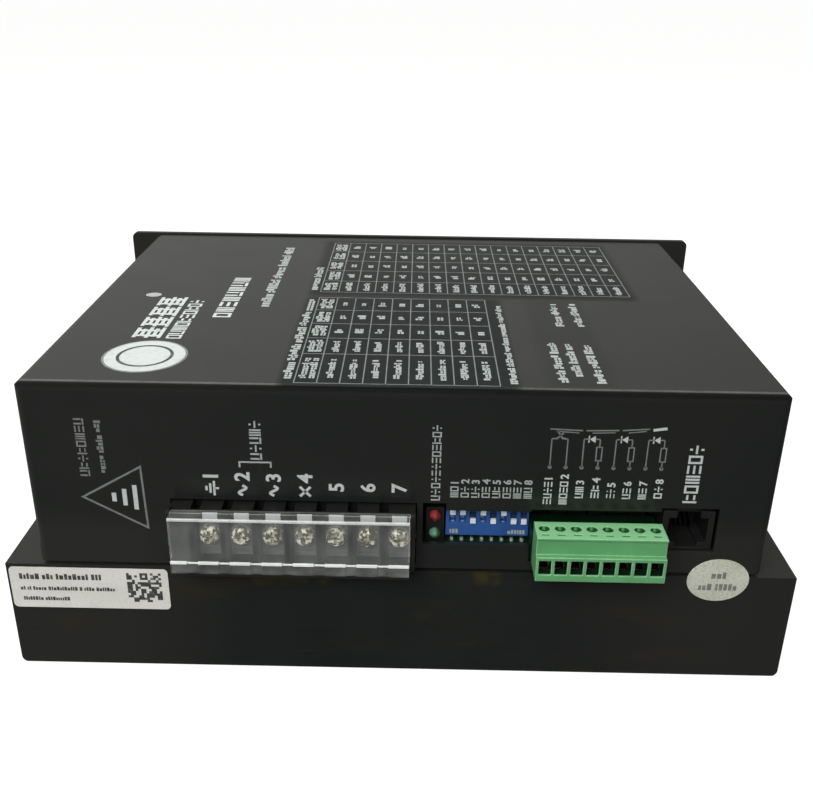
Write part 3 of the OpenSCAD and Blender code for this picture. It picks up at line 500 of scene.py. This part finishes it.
def matt_ground():
    """A dark matt film around the tables: duller than the satin coat, denser towards the front, fading out at
    its borders.
    """
    f = Finish("matt_ground", Specular_IOR_Level=0.08)
    cloud = f.scaled(f.noise(5 * MM, 5), 0.3, 0.7, 0, 1)
    f.colour(f.blend(cloud, (0.013, 0.0165, 0.0175), (0.019, 0.023, 0.0235)))
    f.roughness(f.scaled(f.noise(2 * MM, 3), 0.3, 0.7, 0.55, 0.75))
    front = f.inside((-27.5 * MM, FRONT_Y + 2 * MM, -FAR), (26 * MM, FRONT_Y + 66 * MM, FAR), 2.5 * MM)
    lines = f.inside((36 * MM, FRONT_Y + 4 * MM, -FAR), (49 * MM, FRONT_Y + 66 * MM, FAR), 3 * MM)
    rear = f.inside((-27.5 * MM, FRONT_Y + 70 * MM, -FAR), (67 * MM, FRONT_Y + 130 * MM, FAR), 2.5 * MM)
    strength = f.scaled(f.axis("Y"), FRONT_Y + 10 * MM, FRONT_Y + 110 * MM, 0.55, 0.26)
    held = f.plus(f.times(f.plus(front, rear), strength), f.times(lines, 0.08))
    f.link(held, f.shader.inputs["Alpha"])
    f.normal(f.bump(f.noise(0.3 * MM, 2), 0.003 * MM))
    return f.material


def finishes():
    """One material for each of the record's slots, and the inks."""
    return {
        "sink_black": anodised(),
        "cover_black": powder_coat(),
        "screw_steel": plated("zinc_plate", (0.5, 0.5, 0.47), (0.68, 0.68, 0.64), 0.34),
        "terminal_nickel": plated("nickel_plate", (0.6, 0.58, 0.5), (0.86, 0.84, 0.74), 0.24),
        "tinned_leads": soldered_tin(),
        "struck_nickel": struck_nickel(),
        "contact_plate": contact_plate(),
        "shaded_steel": plated("shaded_steel", (0.004, 0.022, 0.006), (0.014, 0.055, 0.018), 0.5,
                               metallic=0.2),
        "standoff_brass": plated("turned_brass", (0.6, 0.42, 0.16), (0.78, 0.58, 0.26), 0.3, (1, 1, 12)),
        "board_green": solder_mask(),
        "black_plastic": moulded("black_moulding", (0.0085, 0.009, 0.0085), (0.013, 0.0135, 0.0125), 0.36,
                                 edge_tone=(0.03, 0.031, 0.03)),
        # Painted shade: the signal header, green plastic, is coloured near-black green for the deep shade
        # inside the box.
        "header_painted_shade": moulded("painted_shade_green_moulding", (0.002, 0.01, 0.003), (0.004, 0.016, 0.006), 0.4,
                                edge_tone=(0.005, 0.022, 0.008), Specular_IOR_Level=0.2),
        "plug_green": plug_moulding(),
        "switch_blue": switch_moulding(),
        "slider_white": slider_moulding(),
        "clear_plastic": clear_cover(),
        "led_red": epoxy_lens("red_epoxy", "led_red", (0.075, 0.006, 0.006), (0.15, 0.014, 0.013),
                              (0.26, 0.04, 0.036), 0.1),
        "led_green": epoxy_lens("green_epoxy", "led_green", (0.014, 0.045, 0.022), (0.03, 0.085, 0.042),
                                (0.14, 0.29, 0.17), 0.1),
        "label_white": printed_film("printed_film", (0.6, 0.6, 0.55), (0.67, 0.67, 0.63),
                                    (0.45, 0.44, 0.4), 0.4),
        "sticker_film": printed_film("sticker_film", (0.45, 0.46, 0.38), (0.56, 0.57, 0.49),
                                     (0.3, 0.31, 0.25), 0.8),
        "winding_copper": plated("enamelled_copper", (0.42, 0.16, 0.05), (0.62, 0.27, 0.1), 0.28),
        "ferrite": moulded("ferrite", (0.03, 0.05, 0.03), (0.05, 0.075, 0.05), 0.5, 0.3 * MM, 0.02 * MM),
        "capacitor_sleeve": moulded("shrink_sleeve", (0.008, 0.012, 0.03), (0.015, 0.02, 0.05), 0.25),
        "film_yellow": moulded("yellow_box", (0.55, 0.33, 0.04), (0.66, 0.42, 0.07), 0.3),
        "ceramic_white": moulded("ceramic", (0.62, 0.62, 0.58), (0.74, 0.74, 0.7), 0.6,
                                 0.2 * MM, 0.02 * MM),
        "relay_blue": moulded("relay_case", (0.01, 0.03, 0.12), (0.02, 0.05, 0.17), 0.25),
        "thermal_pad": moulded("silicone_pad", (0.3, 0.33, 0.42), (0.38, 0.41, 0.5), 0.7,
                               0.5 * MM, 0.03 * MM),
        "insulating_film": moulded("polyester_film", (0.55, 0.45, 0.22), (0.65, 0.54, 0.3), 0.3),
        "package_black": moulded("epoxy_package", (0.018, 0.018, 0.02), (0.028, 0.028, 0.03), 0.5,
                                 0.2 * MM, 0.015 * MM),
        "contact_gold": plated("gold_plate", (0.05, 0.034, 0.012), (0.1, 0.07, 0.026), 0.3),
        "white_ink": ink("white_ink", (0.44, 0.47, 0.46), (0.3, 0.32, 0.31), 0.6),
        "soft_ink": ink("soft_ink", (0.3, 0.33, 0.32), (0.18, 0.2, 0.19), 0.7),
        "faint_ink": ink("faint_ink", (0.16, 0.17, 0.165), (0.07, 0.075, 0.072), 0.8),
        "dark_ink": ink("dark_ink", (0.045, 0.045, 0.047), (0.26, 0.26, 0.25), 0.6),
        "grey_ink": ink("grey_ink", (0.16, 0.16, 0.155), (0.32, 0.32, 0.3), 0.6),
        "matt_ground": matt_ground(),
    }


OWN_FINISH = {"signal_header": "header_painted_shade", "inspection_sticker": "sticker_film",
              "optocouplers": "package_black", "plug_screws": "shaded_steel",
              "barrier_contacts": "contact_plate"}
OWN_FINISH.update((f"terminal_screw_{k}", "struck_nickel") for k in range(1, 8))


def dress(materials):
    """Gives every CAD node its slot's material."""
    for part in frame["record"]["subparts"]:
        node = frame["nodes"][part["node"]]
        node.data.materials.clear()
        node.data.materials.append(materials[OWN_FINISH.get(part["node"], part["material_slot"])])


# ---------------------------------------------------------------- printed marks

INK_LIFT = 0.04 * MM
INK_ROOT = 0.01 * MM


def path_sides(points, width, closed):
    """The two sides of a stroke along a path, mitred at its corners."""
    count = len(points)
    left, right = [], []
    for k, point in enumerate(points):
        before = points[k - 1] if k or closed else None
        after = points[(k + 1) % count] if k < count - 1 or closed else None
        coming = (point - before).normalized() if before is not None else (after - point).normalized()
        going = (after - point).normalized() if after is not None else coming
        along = (coming + going).normalized()
        across = Vector((-along.y, along.x))
        reach = width / 2 / max(0.4, across.dot(Vector((-going.y, going.x))))
        left.append(point + across * reach)
        right.append(point - across * reach)
    return left, right


class Print:
    """Thin printed marks on one flat face. Places are in millimetres along the face's u and v."""

    def __init__(self, origin, u, v, seed=SEED):
        self.origin, self.u, self.v = Vector(origin), Vector(u), Vector(v)
        self.out = self.u.cross(self.v)
        self.mesh = bmesh.new()
        self.draw = random.Random(seed)

    def point(self, p, lift):
        return self.origin + self.u * (p[0] * MM) + self.v * (p[1] * MM) + self.out * lift

    def slab(self, faces, points):
        """A closed slab whose outline faces are index loops into points."""
        low = [self.mesh.verts.new(self.point(p, -INK_ROOT)) for p in points]
        high = [self.mesh.verts.new(self.point(p, INK_LIFT)) for p in points]
        sides = {}
        for loop in faces:
            self.mesh.faces.new([high[k] for k in loop])
            self.mesh.faces.new([low[k] for k in reversed(loop)])
            for a, b in zip(loop, loop[1:] + loop[:1]):
                if (b, a) in sides:
                    del sides[(b, a)]
                else:
                    sides[(a, b)] = True
        for a, b in sides:
            self.mesh.faces.new([low[a], low[b], high[b], high[a]])

    def polygon(self, points):
        self.slab([list(range(len(points)))], points)

    def bar(self, u0, v0, u1, v1):
        self.polygon([(u0, v0), (u1, v0), (u1, v1), (u0, v1)])

    def stroke(self, points, width, closed=False):
        left, right = path_sides([Vector(p) for p in points], width, closed)
        count = len(points)
        spans = count if closed else count - 1
        loops = [[count + k, count + (k + 1) % count, (k + 1) % count, k] for k in range(spans)]
        self.slab(loops, left + right)

    def disc(self, u, v, radius_u, radius_v, sides=48):
        turns = [2 * math.pi * k / sides for k in range(sides)]
        self.polygon([(u + radius_u * math.cos(t), v + radius_v * math.sin(t)) for t in turns])

    def turned(self, u, v, run, rise):
        """A place run along and rise above a line of type that reads upwards from (u, v)."""
        return u - rise, v + run

    def block(self, u, v, run0, rise0, run1, rise1):
        """A rectangle in the coordinates of a line of type that reads upwards from (u, v)."""
        corners = [(run0, rise0), (run1, rise0), (run1, rise1), (run0, rise1)]
        self.polygon([self.turned(u, v, *c) for c in corners])

    def sign(self, u, v, width, height, kind):
        """One abstract sign: slabs, a frame, a comb or steps."""
        bold = min(width, height) * 0.24
        if kind == 0:
            for k in range(3):
                rise = k * (height - bold) / 2
                self.block(u, v, 0, rise, width, rise + bold)
        elif kind == 1:
            half = bold / 2
            far_run, far_rise = width - half, height - half
            corners = [(half, half), (far_run, half), (far_run, far_rise), (half, far_rise)]
            self.stroke([self.turned(u, v, *c) for c in corners], bold, closed=True)
        elif kind == 2:
            self.block(u, v, 0, 0, bold, height)
            for rise in (height * 0.12, height * 0.62):
                self.block(u, v, bold * 1.6, rise, width, rise + bold)
        elif kind == 3:
            self.block(u, v, 0, 0, width, bold)
            self.block(u, v, 0, bold * 1.5, bold * 1.1, height)
            self.block(u, v, width - bold * 1.1, bold * 1.5, width, height)
        elif kind == 4:
            self.block(u, v, 0, 0, bold, height)
            self.block(u, v, (width - bold) / 2, 0, (width + bold) / 2, height)
            self.block(u, v, width - bold, 0, width, height)
        else:
            middle_rise = (height - bold) / 2
            self.block(u, v, 0, middle_rise, width, middle_rise + bold)
            for rise in (0, height - bold * 1.3):
                self.block(u, v, (width - bold) / 2, rise, (width + bold) / 2, rise + bold * 1.3)

    def signs(self, u, v, run, height, pitch=0.78, fill=0.82):
        """A line of abstract signs that reads upwards, in place of lettering."""
        count = max(1, round(run / (height * pitch)))
        step = run / count
        kind = -1
        for k in range(count):
            kind = self.draw.choice([other for other in range(6) if other != kind])
            self.sign(u, v + k * step, step * fill, height, kind)

    def lattice(self, u, v, width, height):
        """A dense square sign: level bars crossed by two uprights."""
        bar = height / 7.6
        step = (height - bar) / 4
        for k, share in enumerate((0.0, 0.12, 0.0, 0.16, 0.04)):
            inset = width * share
            self.block(u, v, inset, k * step, width - inset, k * step + bar)
        for share in (0.14, 0.62):
            run = width * share
            for k in range(4):
                self.block(u, v, run, k * step + bar, run + bar * 1.2, (k + 1) * step)

    def dashes(self, u, v, run, height, words=5):
        """A line of short dashes that reads upwards, in place of small type."""
        place = 0.0
        letters = 0
        while place < run - height * 0.3:
            width = height * self.draw.choice((0.34, 0.46, 0.58))
            top = height * self.draw.choice((0.72, 0.72, 1.0))
            foot = height * self.draw.choice((0.0, 0.0, 0.0, 0.2))
            if self.draw.random() < 0.5:
                middle_gap = height * 0.12
                split = (top + foot) / 2
                self.block(u, v, place, foot, min(place + width, run), split - middle_gap / 2)
                self.block(u, v, place, split + middle_gap / 2, min(place + width, run), top)
            else:
                self.block(u, v, place, foot, min(place + width, run), top)
            letters += 1
            spaced = letters % words == 0
            place += width + height * (0.55 if spaced else 0.14)

    def numeral(self, text, u, v, height, bold=0.028):
        """A numeral that reads upwards, its foot at u and its near side at v."""
        curve = bpy.data.curves.new("numeral", "FONT")
        curve.body = text
        curve.resolution_u = 3
        curve.offset = bold
        holder = bpy.data.objects.new("numeral", curve)
        bpy.context.scene.collection.objects.link(holder)
        bpy.context.view_layer.update()
        flat = bpy.data.meshes.new_from_object(holder)
        corners = [p.co for p in flat.vertices]
        low_x = min(p.x for p in corners)
        low_y = min(p.y for p in corners)
        scale = height / (max(p.y for p in corners) - low_y)
        places = [self.turned(u, v, (p.x - low_x) * scale, (p.y - low_y) * scale) for p in corners]
        self.slab([list(face.vertices) for face in flat.polygons], places)
        bpy.data.objects.remove(holder)
        bpy.data.curves.remove(curve)
        bpy.data.meshes.remove(flat)

    def finish(self, name, material):
        """Makes the drawn marks one piece of the drive's body."""
        data = bpy.data.meshes.new(name)
        bmesh.ops.recalc_face_normals(self.mesh, faces=self.mesh.faces)
        self.mesh.to_mesh(data)
        self.mesh.free()
        data.materials.append(material)
        piece = bpy.data.objects.new(name, data)
        bpy.context.scene.collection.objects.link(piece)
        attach(piece, "drive_body")


def terminal_marks(p):
    """A function sign and a number over each power terminal."""
    foot, height, near = 1.9, 3.75, 51.9
    for k, pole in enumerate(POLES):
        base = pole.x / MM - 0.25 + foot
        if k == 0:
            for rise, half in ((1.15, 2.0), (2.1, 1.3), (3.05, 0.6)):
                p.block(base, near + 2.0, -half, rise - 0.29, half, rise + 0.29)
            p.block(base, near + 2.0, -0.29, 0, 0.29, 1.15)
            p.numeral("1", base, near + 4.9, height)
        elif k < 3:
            wave = [(0.2 + 0.3 * s, height / 2 + 0.9 * math.sin(s * math.pi / 4.5)) for s in range(10)]
            p.stroke([p.turned(base, near, *w) for w in wave], 0.68)
            p.numeral(str(k + 1), base, near + 4.1, height)
        elif k == 3:
            for sign in (-1, 1):
                ends = ((0.2, height / 2 - sign * 1.3), (2.8, height / 2 + sign * 1.3))
                p.stroke([p.turned(base, near, *e) for e in ends], 0.66)
            p.numeral("4", base, near + 3.8, height)
        else:
            p.numeral(str(k + 1), base, near + 1.7, height)


def supply_marks(p):
    """The bracket that joins the supply pair, and the line of signs over it."""
    left, right = POLES[1].x / MM - 0.6, POLES[2].x / MM - 0.7
    p.stroke([(left, 59.8), (left, 61.2), (right, 61.2), (right, 59.8)], 0.42)
    p.signs(-33.3, 61.9, 10.6, 2.8)


def caution_marks(p):
    """A plain outlined triangle with two lines of signs beside it."""
    p.signs(-75.2, 56.6, 15.8, 2.4)
    p.dashes(-71.2, 57.6, 14.0, 1.6)
    corner = Vector((-77.7, 50.8))
    upper, lower = Vector((-62.9, 59.4)), Vector((-62.5, 42.4))
    p.stroke([corner, lower, upper], 0.5, closed=True)


def switch_marks(p):
    """A number under two small signs for each switch, and one long line beside them for the lamps."""
    for k, way in enumerate(WAYS):
        base = way.x / MM + 1.0
        p.signs(base, 52.6, 3.3, 2.0, pitch=0.85)
        p.numeral(str(k + 1), base, 56.4, 2.0)
    p.signs(middle("led_red").x / MM + 0.9, 51.6, 20.6, 2.2)


def signal_marks(p, fine):
    """A number over each signal pole, and the input circuit printed above them."""
    lengths = (8.6, 8.8, 5.6, 6.0, 4.8, 5.4, 5.5, 5.8)
    starts = (51.0, 51.0, 52.8, 52.9, 53.0, 52.8, 52.8, 53.1)
    joint, top, shift, thin = 61.4, 68.9, 0.9, 0.3
    box_low, box_high, box_half = 63.3, 66.9, 0.65
    for k, x in enumerate(SIGNALS):
        u = x / MM + shift
        p.signs(u + 1.0, starts[k] + 0.2, lengths[k] - 2.2, 2.0)
        p.numeral(str(k + 1), u + 1.0, starts[k] + lengths[k] - 1.6, 2.0)
        fine.disc(u, joint, 0.5, 0.5, 12)
        if k in (3, 5, 7):
            left, right = u - box_half, u + box_half
            corners = [(left, box_low), (right, box_low), (right, box_high), (left, box_high)]
            fine.stroke([(u, joint), (u, box_low)], thin)
            fine.stroke(corners, thin, closed=True)
            fine.stroke([(u, box_high), (u, top)], thin)
        else:
            fine.stroke([(u, joint), (u, top)], thin)
    for k in (2, 4, 6):
        left, right = SIGNALS[k] / MM + shift, SIGNALS[k + 1] / MM + shift
        mid = (left + right) / 2
        fine.stroke([(left, top + 0.1), (mid - 0.6, top + 0.1)], thin)
        fine.stroke([(mid + 0.8, top + 0.1), (right, top + 0.1)], thin)
        p.polygon([(mid + 0.8, 68.1), (mid + 0.8, 69.9), (mid - 0.6, 69.0)])
        p.bar(mid - 0.9, 68.1, mid - 0.6, 69.9)
    left, right = SIGNALS[0] / MM + shift, SIGNALS[1] / MM + shift
    fine.stroke([(left, top), (left + 1.3, 69.1), (left + 2.7, 70.5)], 0.42)
    fine.stroke([(right, top), (right - 1.3, 69.1), (left + 1.2, 71.1)], 0.42)
    rail = [(35.0, 71.5), (43.5, 71.2), (52.0, 71.4), (59.2, 71.9)]
    for (u0, v0), (u1, v1) in zip(rail, rail[1:]):
        fine.stroke([(u0, v0), (u1 - 0.8, v1)], 0.34)
        fine.stroke([(u0 + 1.5, v0 - 0.6), (u1 - 1.6, v1 - 0.6)], 0.26)
    p.stroke([(59.2, 71.6), (62.4, 72.1)], 0.7)


def front_print(materials):
    """The front's print: bold marks over the terminals, finer, fainter ones for the circuit and caution."""
    upright = ((1, 0, 0), (0, 0, 1))
    bold = Print((0, FRONT_Y, 0), *upright)
    soft = Print((0, FRONT_Y, 0), *upright, SEED + 4)
    fine = Print((0, FRONT_Y, 0), *upright, SEED + 5)
    terminal_marks(bold)
    triangle_middle = 50.9
    for k in range(3):
        u = -70.6 + 2.6 * k
        reach = 1.2 + 1.1 * k
        bold.bar(u, triangle_middle - reach, u + 1.1, triangle_middle + reach)
    bold.signs(middle("jack_housing").x / MM + 0.95, 52.2, 16.1, 3.4)
    supply_marks(soft)
    switch_marks(soft)
    caution_marks(fine)
    signal_marks(bold, fine)
    bold.finish("front_print", materials["white_ink"])
    soft.finish("front_signs", materials["soft_ink"])
    fine.finish("front_circuit", materials["faint_ink"])


def table(grid, text, u0, u1, columns, rows, lines_in):
    """A ruled table: rows are its line places along v; lines_in(column, row) says what a cell holds."""
    half = 0.14
    width = (u1 - u0) / columns
    for k in range(columns + 1):
        grid.bar(u0 + k * width - half, rows[0], u0 + k * width + half, rows[-1])
    for v in rows:
        for k in range(columns):
            grid.bar(u0 + k * width + half, v - half, u0 + (k + 1) * width - half, v + half)
    for column in range(columns):
        for row in range(len(rows) - 1):
            low, high = rows[row], rows[row + 1]
            middle_u, middle_v = u0 + (column + 0.5) * width, (low + high) / 2
            cell_lines(text, middle_u, middle_v, high - low, lines_in(column, row))


def cell_lines(p, u, v, height, lines):
    """The small dashes of one table cell, which read upwards."""
    if lines == 0:
        run = 2.6 + 0.9 * p.draw.random()
        p.dashes(u + 1.0, v - run / 2, run, 2.3, words=9)
        return
    run = height * (0.62 + 0.14 * p.draw.random())
    for k in range(lines):
        rise = (k - (lines - 1) / 2) * 2.0
        p.dashes(u + 0.9 + rise, v - run / 2, run, 1.9, words=9)


def top_tables(grid, text):
    """The two ruled tables of the top face, and the lines of dashes around them."""
    tall, row = 18.8, 11.35
    front_rows = [2.6, 2.6 + tall] + [2.6 + tall + row * k for k in range(1, 5)]
    table(grid, text, -25.5, 23.0, 9, front_rows, lambda c, r: 2 if c == 0 else (1 if r < 2 else 0))
    rear_rows = [72.2 + 11.25 * k for k in range(6)]
    table(grid, text, -25.8, 66.8, 17, rear_rows, lambda c, r: 2 if c == 0 else (1 if r == 0 else 0))
    text.dashes(-26.4, 5, 60, 2.4, words=8)
    text.dashes(-26.9, 74, 25, 2.4, words=8)
    text.dashes(27.3, 4, 58, 1.8, words=9)
    notes = ((43.6, 45, 64), (49.1, 45, 65.5), (39.4, 5.5, 32.4), (43.4, 9.3, 32), (48.3, 5.2, 31))
    for u, low, high in notes:
        text.dashes(u, low, high - low, 2.3, words=6)


def top_print(materials):
    """The top face's print: a disc with a plain ring, signs where names stood, and the ruled tables."""
    flat = ((1, 0, 0), (0, 1, 0))
    p = Print((0, FRONT_Y, TOP_Z + INK_LIFT), *flat, SEED + 1)
    disc_u, disc_v = -64.3, 17.9
    p.disc(disc_u, disc_v, 9.9, 10.3)
    for k in range(4):
        p.lattice(-63.7, 30.6 + 8.7 * k, 7.9, 7.6)
    p.signs(-58.3, 30.4, 32.4, 4.0, pitch=0.8)
    p.signs(-48.5, 47.7, 38.3, 5.0, pitch=1.0, fill=0.76)
    p.finish("top_print", materials["white_ink"])
    fine = Print((0, FRONT_Y, TOP_Z + INK_LIFT), *flat, SEED + 6)
    fine.dashes(-39.2, 57.5, 64, 3.0, words=7)
    fine.disc(-74.4, 66.6, 2.3, 1.9, 20)
    grid = Print((0, FRONT_Y, TOP_Z + INK_LIFT / 2), *flat)
    top_tables(grid, fine)
    grid.finish("top_rules", materials["faint_ink"])
    fine.finish("top_tables", materials["soft_ink"])
    fade = Print((0, FRONT_Y, TOP_Z), *flat)
    fade.disc(disc_u, disc_v, 10.5, 10.9)
    fade.finish("disc_fade", materials["faint_ink"])
    ground = Print((0, FRONT_Y, TOP_Z), *flat)
    ground.bar(-31, 0.8, 71, 133)
    ground.finish("table_ground", materials["matt_ground"])
    mark = Print((0, FRONT_Y, TOP_Z + 2 * INK_LIFT), *flat)
    turns = [2 * math.pi * k / 48 for k in range(48)]
    ring = [(disc_u + 6.6 * math.cos(t), disc_v + 6.9 * math.sin(t)) for t in turns]
    mark.stroke(ring, 0.8, closed=True)
    mark.finish("disc_mark", materials["dark_ink"])


def label_print(materials):
    """Dashes and a square patch of random cells on the rating label."""
    low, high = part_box("rating_label")
    p = Print((low.x, low.y, low.z), (1, 0, 0), (0, 0, 1), SEED + 2)
    lines = ((2.5, 8.6, 20.5, 1.7), (2.4, 5.3, 23.8, 1.1), (2.8, 2.2, 12.2, 1.1))
    for u, v, run, height in lines:
        flat_dashes(p, u, v, run, height)
    cells, side = 13, 8.8 / 13
    u0, v0 = 29.9, 2.2
    for row in range(cells):
        for column in range(cells):
            if p.draw.random() < 0.52:
                u, v = u0 + column * side, v0 + row * side
                p.bar(u, v, u + side, v + side)
    p.finish("label_print", materials["dark_ink"])


def flat_dashes(p, u, v, run, height):
    """A level line of dashes in place of small type."""
    place = 0.0
    while place < run:
        width = height * p.draw.choice((0.34, 0.46, 0.58))
        top = height * p.draw.choice((0.75, 1.0, 1.0))
        p.bar(u + place, v, u + place + width, v + top)
        place += width + height * (0.5 if p.draw.random() < 0.12 else 0.16)


def switch_print(materials):
    """Short dashes along the foot of the switch block."""
    low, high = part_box("dip_body")
    p = Print((low.x, low.y, low.z), (1, 0, 0), (0, 0, 1), SEED + 7)
    flat_dashes(p, 1.0, 0.5, 1.9, 1.2)
    flat_dashes(p, 15.6, 0.5, 3.8, 1.2)
    p.finish("switch_print", materials["soft_ink"])


def sticker_print(materials):
    """Two lines of dashes on the oval sticker."""
    low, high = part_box("inspection_sticker")
    centre = (low + high) / 2
    p = Print((centre.x, low.y, centre.z), (1, 0, 0), (0, 0, 1), SEED + 3)
    flat_dashes(p, -1.8, 0.5, 3.8, 1.9)
    flat_dashes(p, -4.6, -3.0, 9.0, 1.9)
    p.finish("sticker_print", materials["grey_ink"])


# ---------------------------------------------------------------- stage

# Brightness of the room by height, from straight down (0) to straight up (1).
REAR_TONES = ((0.0, 0.12), (0.52, 0.2), (0.62, 0.33), (0.72, 0.34), (0.81, 0.95), (0.9, 0.95), (0.97, 0.25))
FRONT_TONES = ((0.0, 0.1), (0.45, 0.12), (0.55, 0.16), (0.9, 0.2))
LEFT_SHARE, RIGHT_SHARE = 1.6, 0.5


def floor():
    """A plain white floor that keeps only a faint shadow."""
    half = 8.0
    corners = [(-half, -half, 0), (half, -half, 0), (half, half, 0), (-half, half, 0)]
    data = bpy.data.meshes.new("floor")
    data.from_pydata(corners, [], [(0, 1, 2, 3)])
    plane = bpy.data.objects.new("floor", data)
    bpy.context.scene.collection.objects.link(plane)
    material = bpy.data.materials.new("floor_white")
    material.use_nodes = True
    shader = material.node_tree.nodes["Principled BSDF"]
    shader.inputs["Base Color"].default_value = (0.16, 0.16, 0.16, 1)
    shader.inputs["Roughness"].default_value = 1.0
    shader.inputs["Specular IOR Level"].default_value = 0.0
    shader.inputs["Emission Color"].default_value = (1, 1, 1, 1)
    shader.inputs["Emission Strength"].default_value = 0.92
    data.materials.append(material)
    plane.visible_glossy = False
    plane.visible_diffuse = False
    plane.visible_transmission = False


def tone_ramp(tree, height, tones):
    """The room's slightly warm grey at each height."""
    ramp = tree.nodes.new("ShaderNodeValToRGB")
    while len(ramp.color_ramp.elements) < len(tones):
        ramp.color_ramp.elements.new(0.5)
    for element, (position, tone) in zip(ramp.color_ramp.elements, tones):
        element.position = position
        element.color = (tone, tone * 0.99, tone * 0.94, 1)
    tree.links.new(height, ramp.inputs["Fac"])
    return ramp.outputs["Color"]


def sky():
    """White to the camera. To all else a room lit from behind: bright behind the drive, dim in front."""
    world = bpy.data.worlds.new("studio")
    bpy.context.scene.world = world
    world.use_nodes = True
    tree = world.node_tree
    tree.nodes.clear()
    place = tree.nodes.new("ShaderNodeTexCoord")
    axes = tree.nodes.new("ShaderNodeSeparateXYZ")
    tree.links.new(place.outputs["Generated"], axes.inputs["Vector"])

    def ranged(axis, source_low, source_high, low, high):
        made = tree.nodes.new("ShaderNodeMapRange")
        sockets = ("From Min", "From Max", "To Min", "To Max")
        for socket, value in zip(sockets, (source_low, source_high, low, high)):
            made.inputs[socket].default_value = value
        tree.links.new(axes.outputs[axis], made.inputs["Value"])
        return made.outputs["Result"]

    height = ranged("Z", -1, 1, 0, 1)
    behind = tone_ramp(tree, height, REAR_TONES)
    before = tone_ramp(tree, height, FRONT_TONES)
    room = tree.nodes.new("ShaderNodeMix")
    room.data_type = "RGBA"
    tree.links.new(ranged("Y", -0.15, 0.25, 0, 1), room.inputs["Factor"])
    tree.links.new(before, room.inputs[6])
    tree.links.new(behind, room.inputs[7])
    dim = tree.nodes.new("ShaderNodeBackground")
    tree.links.new(room.outputs[2], dim.inputs["Color"])
    tree.links.new(ranged("X", -0.8, 0.8, LEFT_SHARE, RIGHT_SHARE), dim.inputs["Strength"])
    white = tree.nodes.new("ShaderNodeBackground")
    white.inputs["Color"].default_value = (1, 1, 1, 1)
    rays = tree.nodes.new("ShaderNodeLightPath")
    choose = tree.nodes.new("ShaderNodeMixShader")
    output = tree.nodes.new("ShaderNodeOutputWorld")
    tree.links.new(rays.outputs["Is Camera Ray"], choose.inputs["Fac"])
    tree.links.new(dim.outputs["Background"], choose.inputs[1])
    tree.links.new(white.outputs["Background"], choose.inputs[2])
    tree.links.new(choose.outputs["Shader"], output.inputs["Surface"])


def softbox(name, at, target, size, power):
    """A soft rectangular light that no surface mirrors."""
    light = bpy.data.lights.new(name, "AREA")
    light.shape = "RECTANGLE"
    light.size, light.size_y = size
    light.energy = power
    holder = bpy.data.objects.new(name, light)
    holder.location = at
    holder.rotation_euler = (Vector(target) - Vector(at)).to_track_quat("-Z", "Y").to_euler()
    holder.visible_glossy = False
    bpy.context.scene.collection.objects.link(holder)


def camera():
    """The photograph's viewpoint: above the front, tilted down, with a slight roll."""
    data = bpy.data.cameras.new("camera")
    data.sensor_width = SENSOR
    data.lens = LENS
    data.clip_start, data.clip_end = 0.01, 50
    holder = bpy.data.objects.new("camera", data)
    tilt = math.radians(90 - CAMERA_TILT)
    turn, roll = math.radians(CAMERA_TURN), math.radians(CAMERA_ROLL)
    place = Matrix.Translation(Vector(CAMERA_PLACE) * MM)
    spin = Matrix.Rotation(turn, 4, "Z") @ Matrix.Rotation(tilt, 4, "X") @ Matrix.Rotation(roll, 4, "Z")
    holder.matrix_world = place @ spin
    bpy.context.scene.collection.objects.link(holder)
    bpy.context.scene.camera = holder


def studio():
    floor()
    sky()
    centre = (0, 0, 0.04)
    softbox("overhead", (-0.15, 0.1, 0.85), centre, (0.9, 0.7), 6.5)
    softbox("front", (-0.25, -0.85, 0.65), (0, -0.06, 0.04), (0.8, 0.5), 11.7)
    for name, x, y, power in (("rear", 0, 1.3, 12.0), ("left", -1.3, 0, 6.0), ("right", 1.3, 0, 6.0)):
        softbox(name, (x, y, 0.16), centre, (0.8, 0.3), power)
    camera()
    bpy.context.scene.view_settings.view_transform = "Standard"
    bpy.context.scene.view_settings.look = "None"


# ---------------------------------------------------------------- the whole scene

studio()
MATERIALS = finishes()
dress(MATERIALS)
front_print(MATERIALS)
top_print(MATERIALS)
label_print(MATERIALS)
switch_print(MATERIALS)
sticker_print(MATERIALS)
